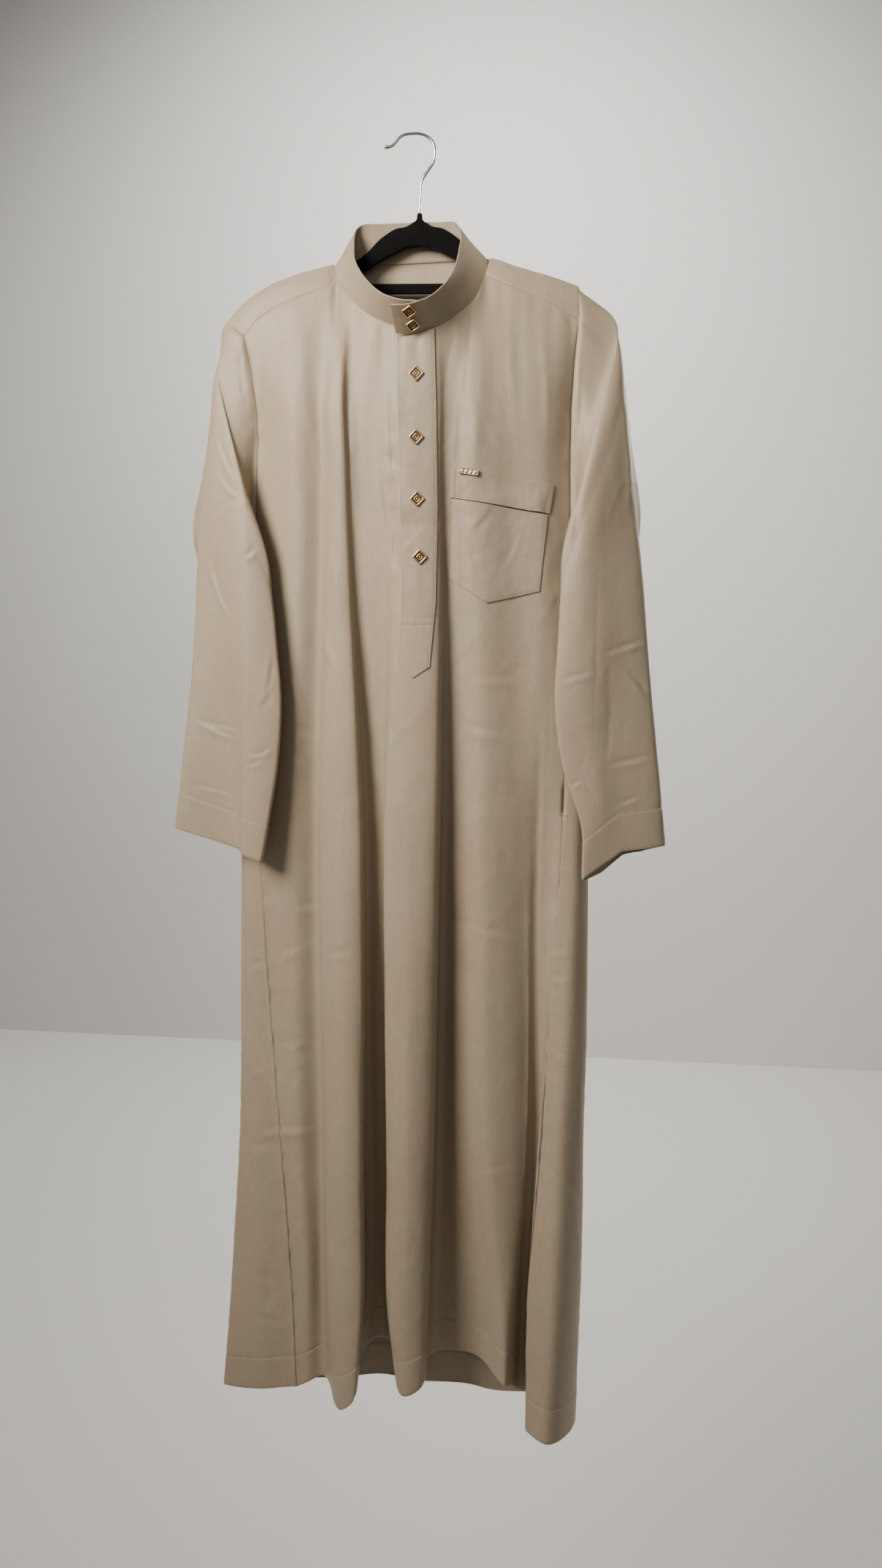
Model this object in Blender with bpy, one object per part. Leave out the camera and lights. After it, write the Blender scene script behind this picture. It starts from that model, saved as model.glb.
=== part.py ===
"""Thobe robe hanging on a flocked hanger.

Origin: where the hook's crown rests on its peg. +X to the viewer's right, +Y towards the wall
behind the robe, +Z up. The tables and sizes below are in millimetres.
"""
import math

import bmesh
import bpy
import numpy as np
from mathutils import Matrix, Vector
from mathutils.bvhtree import BVHTree
from mathutils.interpolate import poly_3d_calc

MM = 0.001
WALL = 1.5            # thickness of one layer of suiting
COLLAR_WALL = 2.0     # collar band, two layers over interfacing
SEAM_GAP = 0.3        # room between two pieces that are sewn edge to edge
PATCH_LIFT = 0.6      # room under a piece that is sewn onto a panel
PATCH_WALL = 1.3      # thickness of a piece that is sewn onto a panel

# --- heights at which the body's folds are measured ---------------------------------------
BUST, ARMPIT, WAIST, KNEE, SHIN = -290.0, -470.0, -865.0, -1290.0, -1480.0
LEVELS = (BUST, ARMPIT, WAIST, KNEE, SHIN)

# A row for each fold line of the front, from the viewer's left to right:
# name: x, y at the bust, armpit, waist, knee and shin, then x, y, z at the hem
FRONT_FOLDS = {
    "seam_left":     ((-200, -16), (-202, -12), (-204, -12), (-181, -12), (-168, -16), (-163, -18, -1631)),
    "side_roll":     ((-142, -40), (-141, -36), (-153, -28), (-152, -26), (-144, -26), (-145, -24, -1619)),
    "side_hollow":   ((-106, -38), (-112, -32), (-126, -22), (-127, -16), (-126, -16), (-125, -20, -1611)),
    "ridge_1_left":  ((-90, -46), (-97, -44), (-111, -44), (-106, -58), (-100, -70), (-90, -84, -1614)),
    "ridge_1_right": ((-80, -48), (-77, -48), (-61, -54), (-58, -74), (-58, -84), (-65, -92, -1591)),
    "valley_1_left": ((-73, -42), (-70, -38), (-59, -24), (-64, -14), (-68, -12), (-75, -12, -1581)),
    "valley_1":      ((-49, -46), (-46, -42), (-46, -24), (-52, -12), (-54, -8), (-54, -8, -1557)),
    "valley_1_right": ((-30, -50), (-28, -47), (-35, -28), (-34, -14), (-34, -12), (-34, -12, -1555)),
    "ridge_2_left":  ((-14, -54), (-11, -54), (-27, -60), (-26, -76), (-21, -86), (-5, -94, -1580)),
    "ridge_2_right": ((37, -54), (39, -54), (36, -60), (31, -76), (24, -84), (22, -90, -1570)),
    "valley_2":      ((47, -49), (48, -44), (41, -22), (35, -14), (29, -12), (27, -14, -1567)),
    "panel_middle":  ((62, -47), (64, -44), (66, -28), (68, -26), (78, -22), (82, -18, -1562)),
    "ridge_3":       ((80, -48), (86, -46), (96, -40), (106, -44), (123, -52), (127, -62, -1576)),
    "panel_edge":    ((121, -40), (130, -34), (145, -26), (152, -30), (136, -46), (132, -56, -1578)),
    "valley_3":      ((160, -36), (165, -32), (162, -18), (157, -10), (146, -8), (141, -8, -1614)),
    "valley_3_right": ((179, -30), (178, -26), (177, -18), (161, -11), (151, -8), (150, -8, -1616)),
    "seam_right":    ((199, -18), (197, -14), (191, -20), (162, -36), (154, -52), (156, -66, -1632)),
}
# Side gores and back start at the armpit: x, y at armpit, waist, knee, shin, then the hem
GORE_RIGHT_FOLDS = {
    "roll_front":    ((205, -9), (209, -18), (195, -48), (189, -68), (183, -84, -1635)),
    "roll_side":     ((211, -2), (220, -6), (221, -22), (217, -34), (213, -42, -1642)),
    "roll_back":     ((212, 6), (223, 6), (224, 0), (221, -4), (217, -6, -1640)),
    "side_back":     ((208, 13), (214, 14), (212, 14), (208, 14), (203, 14, -1634)),
}
BACK_FOLDS = {
    "seam_right":    ((200, 16), (198, 17), (172, 18), (160, 18), (152, 19, -1632)),
    "hollow_right":  ((130, 17), (128, 16), (118, 15), (112, 14), (106, 13, -1630)),
    "roll_right":    ((70, 17), (70, 18), (68, 19), (64, 19), (60, 19, -1628)),
    "hollow_middle": ((5, 17), (6, 16), (8, 15), (8, 14), (6, 12, -1626)),
    "roll_left":     ((-60, 17), (-58, 18), (-55, 19), (-52, 19), (-50, 19, -1625)),
    "hollow_left":   ((-130, 17), (-128, 16), (-118, 15), (-114, 14), (-110, 13, -1631)),
    "seam_left":     ((-202, 16), (-200, 17), (-185, 18), (-176, 18), (-168, 19, -1641)),
}
GORE_LEFT_FOLDS = {
    "side_back":     ((-210, 12), (-222, 15), (-228, 16), (-236, 17), (-244, 18, -1652)),
    "side_edge":     ((-216, 3), (-234, 8), (-248, 8), (-262, 8), (-277, 8, -1655)),
    "side_front":    ((-209, -8), (-218, -5), (-218, -7), (-218, -11), (-216, -16, -1641)),
}

# The neck: a station for each turn of the seam, with the collar's rim above it
NECK = {
    "left_corner":   ((-94, -13, -161), (-70, -21, -129)),
    "left_side":     ((-79, -22, -185), (-66, -38, -153)),
    "left_front":    ((-63, -34, -205), (-56, -53, -173)),
    "left_fall":     ((-42, -44, -222), (-41, -66, -192)),
    "front_left":    ((-20, -48.5, -233), (-21, -77, -208)),
    "front":         ((6, -52, -241), (5, -84, -217)),
    "front_right":   ((34, -50, -237), (29, -83, -214)),
    "right_fall":    ((60, -41, -222), (48, -66, -195)),
    "right_front":   ((79, -28, -202), (58, -47, -170)),
    "right_corner":  ((91, -13, -169), (61, -24, -139)),
    "right_side":    ((91.5, -5.5, -150), (61, -14, -126)),
    "right_top":     ((88, 2, -146), (58, -4, -112)),
    "back_right":    ((78, 9.5, -145), (52, 4, -102)),
    "back_mid_right": ((45, 14, -144), (30, 7, -100)),
    "back":          ((6, 15, -144), (-5, 7.5, -99)),
    "back_mid_left": ((-45, 14, -144), (-42, 6, -99)),
    "back_left":     ((-82, 9.5, -144.5), (-63, 2, -100)),
    "left_top":      ((-93, 2.5, -145.3), (-69, -3, -105)),
    "left_shoulder": ((-95.5, -5, -148), (-71, -12, -116)),
}
STATIONS = len(NECK)
FRONT_STATIONS = 9                     # stations from the left corner to the right corner
RIGHT_TOP, LEFT_TOP = 11, 17           # the stations just behind the shoulder ridges
LEFT_CORNER, RIGHT_CORNER = 3.0, 12 + 1 / 3       # the same two corners, as fold lines
# Where the neck's stations meet the front's fold lines, counted from seam_left
NECK_ON_FOLDS = (LEFT_CORNER, 4, 5.3, 6, 7.3, 8.4, 9, 11, 11.7, RIGHT_CORNER)

# The shoulder seams, on the fold lines at each side of the neck: fold line, x, y, z
SHOULDER_LEFT = ((0, -212, -14, -231), (0.3, -195, -16, -212), (0.6, -168, -18, -197),
                 (1, -140, -20, -188.5), (2, -108, -20.5, -179), (2.4, -101, -20, -177),
                 (LEFT_CORNER, -94, -13, -161))
SHOULDER_RIGHT = ((RIGHT_CORNER, 91, -13, -169), (12 + 2 / 3, 105, -16, -177), (13, 122, -18, -185),
                  (13.5, 145, -18, -195), (14, 165, -18, -203), (15, 185, -16.5, -214),
                  (16, 204, -14, -227))

# The yoke over the shoulders: front fold line, x and z of the ridge, x and z of the back seam
YOKE_LEFT = ((0, -240, -213, -213, -252), (0.3, -214, -185.5, -190, -240),
             (0.6, -178, -165.5, -160, -232), (1, -145, -156.5, -132, -228),
             (2, -114, -149.5, -104, -226), (2.4, -108, -148, -97, -225.5),
             (LEFT_CORNER, -101.5, -146.6, -91, -225))
YOKE_RIGHT = ((RIGHT_CORNER, 97.5, -147.8, 90, -225), (12 + 2 / 3, 109, -151.5, 100, -226),
              (13, 123, -157.5, 115, -227), (13.5, 145, -164.5, 138, -229),
              (14, 164, -170, 158, -232), (15, 183, -177, 180, -238), (16, 203, -185, 203, -250))
YOKE_BACK = 17.0      # depth of the seam across the back

# Sleeve sections: how far down, height of the outer and inner edge, then six points x, y round
# the flattened tube: outer edge, front hollow, front roll, inner edge, back inside, back outside
SLEEVE_LEFT = (
    (0.05, -245, -476, (-249, -6), (-232, -19), (-212, -28), (-200, -27), (-226, -4), (-240, 8)),
    (0.10, -277, -500, (-253, -8), (-232, -26), (-206, -41), (-182, -40), (-221, -14), (-246, 6)),
    (0.20, -341, -554, (-261, -10), (-236, -32), (-202, -50), (-172, -47), (-206, -28), (-256, 7)),
    (0.35, -438, -617, (-277, -10), (-242, -35), (-202, -54), (-165, -51), (-196, -37), (-292, 6)),
    (0.50, -534, -680, (-282, -12), (-240, -36), (-201, -56), (-160, -54), (-196, -40), (-268, 2)),
    (0.70, -662, -764, (-292, -14), (-234, -34), (-202, -58), (-165, -57), (-198, -40), (-262, 0)),
    (0.85, -759, -827, (-304, -18), (-229, -34), (-208, -58), (-175, -60), (-206, -38), (-262, 0)),
    (1.00, -855, -890, (-316, -20), (-226, -34), (-214, -56), (-187, -61), (-209, -36), (-268, 0)),
)
SLEEVE_RIGHT = (
    (0.05, -219, -476, (241, -4), (226, -18), (210, -28), (200, -27), (223, -3), (236, 8)),
    (0.10, -253, -500, (253, -8), (236, -26), (212, -41), (190, -40), (221, -14), (247, 7)),
    (0.20, -321, -556, (262, -10), (242, -32), (212, -50), (187, -47), (213, -28), (264, 8)),
    (0.35, -423, -621, (272, -12), (246, -36), (214, -54), (184, -51), (210, -37), (282, 6)),
    (0.50, -525, -686, (285, -14), (248, -38), (214, -56), (182, -54), (210, -40), (272, 2)),
    (0.70, -660, -772, (298, -18), (248, -36), (222, -56), (195, -57), (222, -42), (278, 0)),
    (0.85, -762, -837, (309, -20), (256, -38), (238, -57), (216, -60), (238, -38), (280, 2)),
    (1.00, -864, -902, (319, -20), (262, -40), (245, -56), (218, -62), (240, -38), (290, 4)),
)
FOLD_ROOM = 1.8                               # half the roundness of a sleeve's two folded edges
CUFF_DROP = {"left": 0.0, "right": 16.0}    # how much lower the back of the cuff hangs

# Pieces sewn on the front: height, x of the left edge, x of the right edge
PLACKET_EDGES = ((-242, -11, 34), (-330, -9, 37), (-461, -6, 38), (-566, -5, 36), (-643, -10, 29))
PLACKET_TIP = (8, -657)
POCKET_TOP, POCKET_BAND_DEPTH = -403.0, 35.0
POCKET_LIFT = 1.1
POCKET = {"left": (50, -534), "right": (161, -551), "tip": (97, -565)}
POCKET_CORNERS = {"top_left": (54, -403), "top_right": (177, -423),
                  "band_left": (52, -438), "band_right": (172, -458)}

PLACKET_BUTTONS = ((13, -294), (13, -368), (14, -441), (17, -510))    # x, z
COLLAR_BUTTONS = ((8, -228), (10, -239.5))
CURVE_LIFT = 0.8      # room under a flat button on the round collar
BUTTON_HALF, BUTTON_THICK = 8.2, 3.0
TAB_END, BAND_START = 4.35, 5.4        # the collar's two ends, as neck stations
TAB_LIFT = 2.7                         # the outer end lies this far out over the inner one
TAB_DROOP = (0.0, -7.0, -8.0)          # how far the free end of the tab hangs out of line

PIN = {"centre": (75.5, -408.5), "half": (13.4, 4.4), "tilt": 9.5, "thick": 2.4}

# The hanger, upright: distance from its middle, top edge, bottom edge of the arm
HANGER_MIDDLE, HANGER_NECK, HANGER_LEAN, HANGER_THICK = 8.4, -99.0, 2.06, 6.0
HANGER_ARM = ((0, -91, -130), (2.6, -92, -130), (3.6, -98.5, -130.2), (9, -102.5, -131),
              (16, -106.5, -132), (30, -109.5, -138.5),
              (49, -121.5, -148), (64, -136.5, -158), (80, -147.5, -163.5), (105, -156.3, -167),
              (150, -168.5, -172.5))
HANGER_TIP = ((190, -184, 153, -174), (200, -190, 155, -175), (205, -196, 156, -177),
              (200, -202, 155, -179), (180, -198, 152, -181))
HANGER_BAR = (-180.0, 6.2)             # height of the trouser bar's middle, half its depth
HOOK_WIRE = 1.75                       # radius
HOOK_ROUTE = ((8.3, -90.6), (9.5, -72), (12, -52), (18, -43), (24, -35), (27.2, -26), (27, -17),
              (24, -8.5), (17, -2), (8, 1.2), (0, 1.75), (-10, 1), (-17, -2.6), (-22, -8.2),
              (-27, -11.6), (-33, -12))


# --- curves and surfaces ------------------------------------------------------------------
def spline(points, samples, closed=False):
    """Centripetal Catmull-Rom curve through the points, read at fractional point numbers."""
    points = np.asarray(points, float)
    count = len(points)
    out = []
    for value in samples:
        start = int(math.floor(value))
        if not closed:
            start = min(max(start, 0), count - 2)
        part = value - start
        if closed:
            p0, p1, p2, p3 = (points[(start + k) % count] for k in (-1, 0, 1, 2))
        else:
            p1, p2 = points[start], points[start + 1]
            p0 = points[start - 1] if start > 0 else 2 * p1 - p2
            p3 = points[start + 2] if start + 2 < count else 2 * p2 - p1
        k0 = math.sqrt(max(np.linalg.norm(p1 - p0), 1e-6))
        k1 = math.sqrt(max(np.linalg.norm(p2 - p1), 1e-6))
        k2 = math.sqrt(max(np.linalg.norm(p3 - p2), 1e-6))
        slope1 = k1 * ((p1 - p0) / k0 - (p2 - p0) / (k0 + k1)) + (p2 - p1)
        slope2 = k1 * ((p3 - p2) / k2 - (p3 - p1) / (k1 + k2)) + (p2 - p1)
        t2, t3 = part * part, part ** 3
        out.append(p1 * (2 * t3 - 3 * t2 + 1) + slope1 * (t3 - 2 * t2 + part)
                   + p2 * (3 * t2 - 2 * t3) + slope2 * (t3 - t2))
    return np.array(out)


def through(knots, values, at):
    """Cubic through values[k] at knots[k], read at each entry of at; all per column."""
    steps = np.diff(knots, axis=0)[..., None]
    rises = np.diff(values, axis=0) / steps
    inner = (rises[:-1] * steps[1:] + rises[1:] * steps[:-1]) / (steps[:-1] + steps[1:])
    slopes = np.concatenate((rises[:1], inner, rises[-1:]))
    columns = np.arange(knots.shape[1])
    rows = []
    for level in at:
        passed = (np.sign(steps[0, 0, 0]) * (level[None] - knots) >= 0).sum(axis=0) - 1
        k = np.clip(passed, 0, len(knots) - 2)
        width = (knots[k + 1, columns] - knots[k, columns])[:, None]
        part = (level[:, None] - knots[k, columns][:, None]) / width
        t2, t3 = part ** 2, part ** 3
        rows.append(values[k, columns] * (2 * t3 - 3 * t2 + 1)
                    + slopes[k, columns] * width * (t3 - 2 * t2 + part)
                    + values[k + 1, columns] * (3 * t2 - 2 * t3)
                    + slopes[k + 1, columns] * width * (t3 - t2))
    return np.array(rows)


def resample(points, count):
    """Points evenly spaced along a polyline."""
    points = np.asarray(points, float)
    run = np.concatenate(([0], np.cumsum(np.linalg.norm(np.diff(points, axis=0), axis=1))))
    at = np.linspace(0, run[-1], count)
    return np.stack([np.interp(at, run, points[:, k]) for k in range(3)], axis=1)


def surface_normals(grid, closed=False):
    """Unit normals of a grid of points; a missing (nan) neighbour counts as the point itself."""
    def shifted(step, axis):
        moved = np.roll(grid, step, axis=axis)
        if axis == 0 or not closed:
            edge = 0 if step > 0 else -1
            if axis == 0:
                moved[edge] = grid[edge]
            else:
                moved[:, edge] = grid[:, edge]
        return np.where(np.isnan(moved), grid, moved)
    across = shifted(-1, 1) - shifted(1, 1)
    down = shifted(-1, 0) - shifted(1, 0)
    normal = np.cross(across, down)
    return -normal / np.maximum(np.linalg.norm(normal, axis=2, keepdims=True), 1e-9)


def trim(grid, side, amount):
    """Draw one edge of a grid back by a distance, along the surface."""
    edge, inner = {"left": ((slice(None), 0), (slice(None), 1)),
                   "right": ((slice(None), -1), (slice(None), -2)),
                   "top": ((0,), (1,)), "bottom": ((-1,), (-2,))}[side]
    step = grid[inner] - grid[edge]
    grid[edge] += step * (amount / np.linalg.norm(step, axis=1, keepdims=True))


# --- the body -----------------------------------------------------------------------------
def neck_point(station, rim=0.0):
    seam, edge = zip(*NECK.values())
    low = spline(seam, np.atleast_1d(station), closed=True)
    high = spline(edge, np.atleast_1d(station), closed=True)
    return low + (high - low) * rim


def neck_station(fold):
    return float(np.interp(fold, NECK_ON_FOLDS, range(FRONT_STATIONS + 1)))


def front_top(folds):
    """The front's upper edge: left shoulder seam, neck seam and right shoulder seam."""
    points = []
    for fold in folds:
        for seam, inside in ((SHOULDER_LEFT, fold <= LEFT_CORNER), (SHOULDER_RIGHT, fold >= RIGHT_CORNER)):
            if inside:
                rows = np.array(seam, float)
                points.append([np.interp(fold, rows[:, 0], rows[:, k]) for k in (1, 2, 3)])
        if LEFT_CORNER < fold < RIGHT_CORNER:
            points.append(neck_point(neck_station(fold))[0])
    return np.array(points)


def fold_curves(folds, table, levels):
    """Points x, y, z on each level's curve across the folds, level by level."""
    curves = []
    for number, level in enumerate(levels):
        flat = [(*row[number], level) for row in table]
        curves.append(spline(flat, folds))
    curves.append(spline([row[-1] for row in table], folds))
    return np.array(curves)


def hang(curves, rows):
    """Columns through the level curves; rows are the shares of the way down each column."""
    knots = curves[:, :, 2]
    heights = np.array([knots[0] + share * (knots[-1] - knots[0]) for share in rows])
    flat = through(knots, curves[:, :, :2], heights)
    return np.concatenate((flat, heights[:, :, None]), axis=2)


def split_rows(curves, upper, lower):
    """Rows from the top edge to the armpit, then on to the hem, so that panels' rows meet."""
    at_armpit = [k for k in range(1, len(curves)) if curves[k, 0, 2] == ARMPIT][0]
    knots = curves[:, :, 2]
    down = [knots[0] + s * (knots[at_armpit] - knots[0]) for s in np.linspace(0, 1, upper + 1)[:-1]]
    down += [knots[at_armpit] + s * (knots[-1] - knots[at_armpit]) for s in np.linspace(0, 1, lower + 1)]
    down = np.array(down)
    flat = through(knots, curves[:, :, :2], down)
    return np.concatenate((flat, down[:, :, None]), axis=2)


UPPER_ROWS, LOWER_ROWS = 8, 16
FRONT_PARTS = (3, 2, 2, 3, 2, 2, 2, 2, 4, 2, 2, 2, 3, 3, 2, 2)    # columns between fold lines


def fold_numbers(parts):
    numbers = [fold + k / count for fold, count in enumerate(parts) for k in range(count)]
    return numbers + [float(len(parts))]


def front_grid(folds):
    curves = fold_curves(folds, list(FRONT_FOLDS.values()), LEVELS)
    top = front_top(folds)
    return split_rows(np.concatenate((top[None], curves)), UPPER_ROWS, LOWER_ROWS)


def lower_grid(folds, table):
    curves = fold_curves(folds, table, LEVELS[1:])
    return hang(curves, np.linspace(0, 1, LOWER_ROWS + 1))


YOKE_ROWS = 10
YOKE_STATIONS = np.linspace(STATIONS, FRONT_STATIONS, 21)
NECK_COLUMN = 7        # the yoke's column at the left corner of the neck


def over_shoulder(folds, table):
    """Controls of the yoke's columns: front seam, before the ridge, ridge, behind it, rear, back."""
    rows = np.array(table, float)
    for fold, start in zip(folds, front_top(folds)):
        x, z, back_x, back_z = (np.interp(fold, rows[:, 0], rows[:, k]) for k in (1, 2, 3, 4))
        yield (start, (x + (start[0] - x) * 0.4, start[1] * 0.5, z - 5.5), (x, 0, z),
               (x * 0.93 + back_x * 0.07, 8.0, z - 5.0),
               (x * 0.65 + back_x * 0.35, 14.5, z * 0.65 + back_z * 0.35), (back_x, YOKE_BACK, back_z))


def behind_neck(stations, first, last):
    """The same controls from the neck's seam down the back, between the two shoulders' columns."""
    ends = {LEFT_TOP: first, RIGHT_TOP: last}
    for station in stations:
        share = (STATIONS - station) / (STATIONS - FRONT_STATIONS)
        start = neck_point(station)[0]
        back = first[-1] + (last[-1] - first[-1]) * share
        top = start + (0, 1.0, -3.0)
        for side, shoulder in ends.items():
            corner = STATIONS if side == LEFT_TOP else FRONT_STATIONS
            near = (station - side) / (corner - side)
            if near > 0:
                own = neck_point(side)[0] + (math.copysign(1.2, shoulder[2, 0]), 3.5, -2.7)
                top = own + (shoulder[2] - own) * near
        aft = top * 0.93 + back * 0.07
        aft[1:] = max(8.0, top[1] + 0.5), top[2] - 5.0
        rear = top * 0.65 + back * 0.35
        rear[1] = max(14.5, top[1] * 0.5 + back[1] * 0.5)
        yield start, (start + top) / 2, top, aft, rear, back


def yoke_columns():
    """Each column of the yoke, from the shoulder seam or the neck to the seam across the back."""
    folds = np.array(fold_numbers(FRONT_PARTS))
    left = list(over_shoulder(folds[folds < LEFT_CORNER + 0.01], YOKE_LEFT))
    right = list(over_shoulder(folds[folds > RIGHT_CORNER - 0.01], YOKE_RIGHT))
    first, last = np.array(left[-1], float), np.array(right[0], float)
    middle = list(behind_neck(YOKE_STATIONS[1:-1], first, last))
    for controls in left + middle + right:
        yield spline(controls, np.linspace(0, 5, YOKE_ROWS + 1))


def yoke_grid():
    return np.array(list(yoke_columns())).transpose(1, 0, 2)


def back_grid(folds, yoke):
    """The back hangs from the yoke's back seam; its folds run from right to left."""
    table = list(BACK_FOLDS.values())
    curves = fold_curves(folds, table, LEVELS[1:])
    seam = resample(yoke[-1][::-1], 200)
    share = np.array(folds) / (len(table) - 1)
    top = np.array([seam[int(round(s * 199))] for s in share])
    return split_rows(np.concatenate((top[None], curves)), UPPER_ROWS, LOWER_ROWS)


# --- meshes -------------------------------------------------------------------------------
def material(name, colour, roughness, metallic=0.0):
    made = bpy.data.materials.new(name)
    made.use_nodes = True
    shader = made.node_tree.nodes["Principled BSDF"]
    shader.inputs["Base Color"].default_value = (*colour, 1.0)
    shader.inputs["Roughness"].default_value = roughness
    shader.inputs["Metallic"].default_value = metallic
    made.diffuse_color = (*colour, 1.0)
    return made


def add_object(name, verts, faces, finish, smooth=True):
    mesh = bpy.data.meshes.new(name)
    mesh.from_pydata([tuple(v) for v in np.asarray(verts) * MM], [], faces)
    made = bmesh.new()
    made.from_mesh(mesh)
    bmesh.ops.recalc_face_normals(made, faces=made.faces)
    made.to_mesh(mesh)
    made.free()
    if smooth:
        mesh.shade_smooth()
        mesh.set_sharp_from_angle(angle=math.radians(40))
    mesh.materials.append(finish)
    item = bpy.data.objects.new(name, mesh)
    bpy.context.scene.collection.objects.link(item)
    return item


def add_wall(name, outer, inner, finish, round_=False):
    """A closed wall between two grids of points; round_ joins the last column to the first."""
    rows, columns = outer.shape[:2]
    verts = np.concatenate((outer.reshape(-1, 3), inner.reshape(-1, 3)))
    back = rows * columns
    wide = columns if round_ else columns - 1
    faces = []
    for r in range(rows - 1):
        for c in range(wide):
            a, b = r * columns + c, r * columns + (c + 1) % columns
            faces += [(a, a + columns, b + columns), (a, b + columns, b)]
            faces += [(back + a, back + b + columns, back + a + columns),
                      (back + a, back + b, back + b + columns)]
    for r in (0, rows - 1):
        for c in range(wide):
            a, b = r * columns + c, r * columns + (c + 1) % columns
            faces.append((a, b, back + b, back + a) if r == 0 else (b, a, back + a, back + b))
    if not round_:
        for c in (0, columns - 1):
            for r in range(rows - 1):
                a, b = r * columns + c, (r + 1) * columns + c
                faces.append((b, a, back + a, back + b) if c == 0 else (a, b, back + b, back + a))
    return add_object(name, verts, faces, finish)


def panel(name, grid, normals, sides, finish, wall=WALL):
    """A cloth panel: its grid trimmed for the seams, and its inside a wall's thickness in."""
    cut = grid.copy()
    for side in sides:
        trim(cut, side, SEAM_GAP / 2)
    return add_wall(name, cut, cut - normals * wall, finish)


# --- pieces sewn on the front -------------------------------------------------------------
class Surface:
    """The outer face of a panel, met by a line that runs into it from the front."""

    def __init__(self, grid, normals):
        rows, columns = grid.shape[:2]
        self.spots = [Vector(p) for p in grid.reshape(-1, 3)]
        self.normals = normals.reshape(-1, 3)
        self.faces = []
        for r in range(rows - 1):
            for a in range(r * columns, (r + 1) * columns - 1):
                self.faces += [(a, a + columns, a + columns + 1), (a, a + columns + 1, a + 1)]
        self.tree = BVHTree.FromPolygons(self.spots, self.faces)

    def hit(self, x, z):
        place, _, face, _ = self.tree.ray_cast(Vector((x, -400, z)), Vector((0, 1, 0)))
        return place, face

    def point(self, x, z):
        return np.array(self.hit(x, z)[0])

    def normal(self, x, z):
        place, face = self.hit(x, z)
        corners = self.faces[face]
        shares = poly_3d_calc([self.spots[k] for k in corners], place)
        out = sum(share * self.normals[k] for share, k in zip(shares, corners))
        return out / np.linalg.norm(out)


    def seat(self, x, z, half_wide, half_high, slope=0.0):
        """Where a flat piece rests: its middle and direction, from four points under it."""
        left, right = (self.point(x + dx, z + slope * dx) for dx in (-half_wide, half_wide))
        low, high = (self.point(x, z + dz) for dz in (-half_high, half_high))
        out = np.cross(right - left, high - low)
        out *= -np.sign(out @ (0, 1, 0)) / np.linalg.norm(out)
        middle = self.point(x, z)
        proud = max((p - middle) @ out for p in (left, right, low, high, middle))
        return middle + out * proud, out


def patch(name, surface, spots, finish, lift=PATCH_LIFT, wall=PATCH_WALL):
    """A thin piece over the grid of x, z spots, a little off the front."""
    low = np.array([[surface.point(x, z) for x, z in row] for row in spots])
    out = np.array([[surface.normal(x, z) for x, z in row] for row in spots])
    top = low + out * (lift + wall)
    add_wall(name, top, low + out * lift, finish)
    return Surface(top, out)


def build_placket(surface, finish):
    edges = np.array(PLACKET_EDGES, float)
    heights = -edges[:, 0]
    across, down = 6, 18
    spots = []
    for r in range(down + 1):
        row = []
        for c in range(across + 1):
            share = c / across
            corner = edges[-1, 1] + share * (edges[-1, 2] - edges[-1, 1])
            side = edges[-1, 1] if corner < PLACKET_TIP[0] else edges[-1, 2]
            to_tip = (corner - side) / (PLACKET_TIP[0] - side)
            low = edges[-1, 0] + to_tip * (PLACKET_TIP[1] - edges[-1, 0])
            x_top = edges[0, 1] + share * (edges[0, 2] - edges[0, 1])
            station = np.interp(x_top, [neck_point(s)[0, 0] for s in (4, 5, 6)], (4, 5, 6))
            top = neck_point(station)[0, 2] - 4.0
            z = top + (low - top) * r / down
            left = np.interp(-z, heights, edges[:, 1])
            right = np.interp(-z, heights, edges[:, 2])
            row.append((left + share * (right - left), z))
        spots.append(row)
    return patch("placket", surface, spots, finish)


def between(corners, across, down):
    """A grid of x, z spots inside four corners: top left, top right, low left, low right."""
    top_left, top_right, low_left, low_right = (np.array(c, float) for c in corners)
    return [[tuple((top_left + (top_right - top_left) * u) * (1 - v)
                   + (low_left + (low_right - low_left) * u) * v)
             for u in np.linspace(0, 1, across + 1)] for v in np.linspace(0, 1, down + 1)]


def build_pocket(surface, finish):
    top_left, top_right = POCKET_CORNERS["band_left"], POCKET_CORNERS["band_right"]
    inset = 1.0           # room between the band and the pocket below it
    spots = between(((top_left[0] + 1, top_left[1] - inset), (top_right[0] - 2, top_right[1] - inset),
                     POCKET["left"], POCKET["right"]), 14, 9)
    tip_share = (POCKET["tip"][0] - POCKET["left"][0]) / (POCKET["right"][0] - POCKET["left"][0])
    fall = POCKET["tip"][1] - (POCKET["left"][1] + tip_share * (POCKET["right"][1] - POCKET["left"][1]))
    shaped = []
    for r, row in enumerate(spots):
        line = []
        for c, (x, z) in enumerate(row):
            share = c / (len(row) - 1)
            point = share / tip_share if share < tip_share else (1 - share) / (1 - tip_share)
            line.append((x, z + fall * point * r / (len(spots) - 1)))
        shaped.append(line)
    patch("pocket", surface, shaped, finish, lift=POCKET_LIFT)
    band = between([POCKET_CORNERS[k] for k in ("top_left", "top_right", "band_left", "band_right")], 14, 3)
    return patch("pocket_band", surface, band, finish, lift=POCKET_LIFT)


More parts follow.
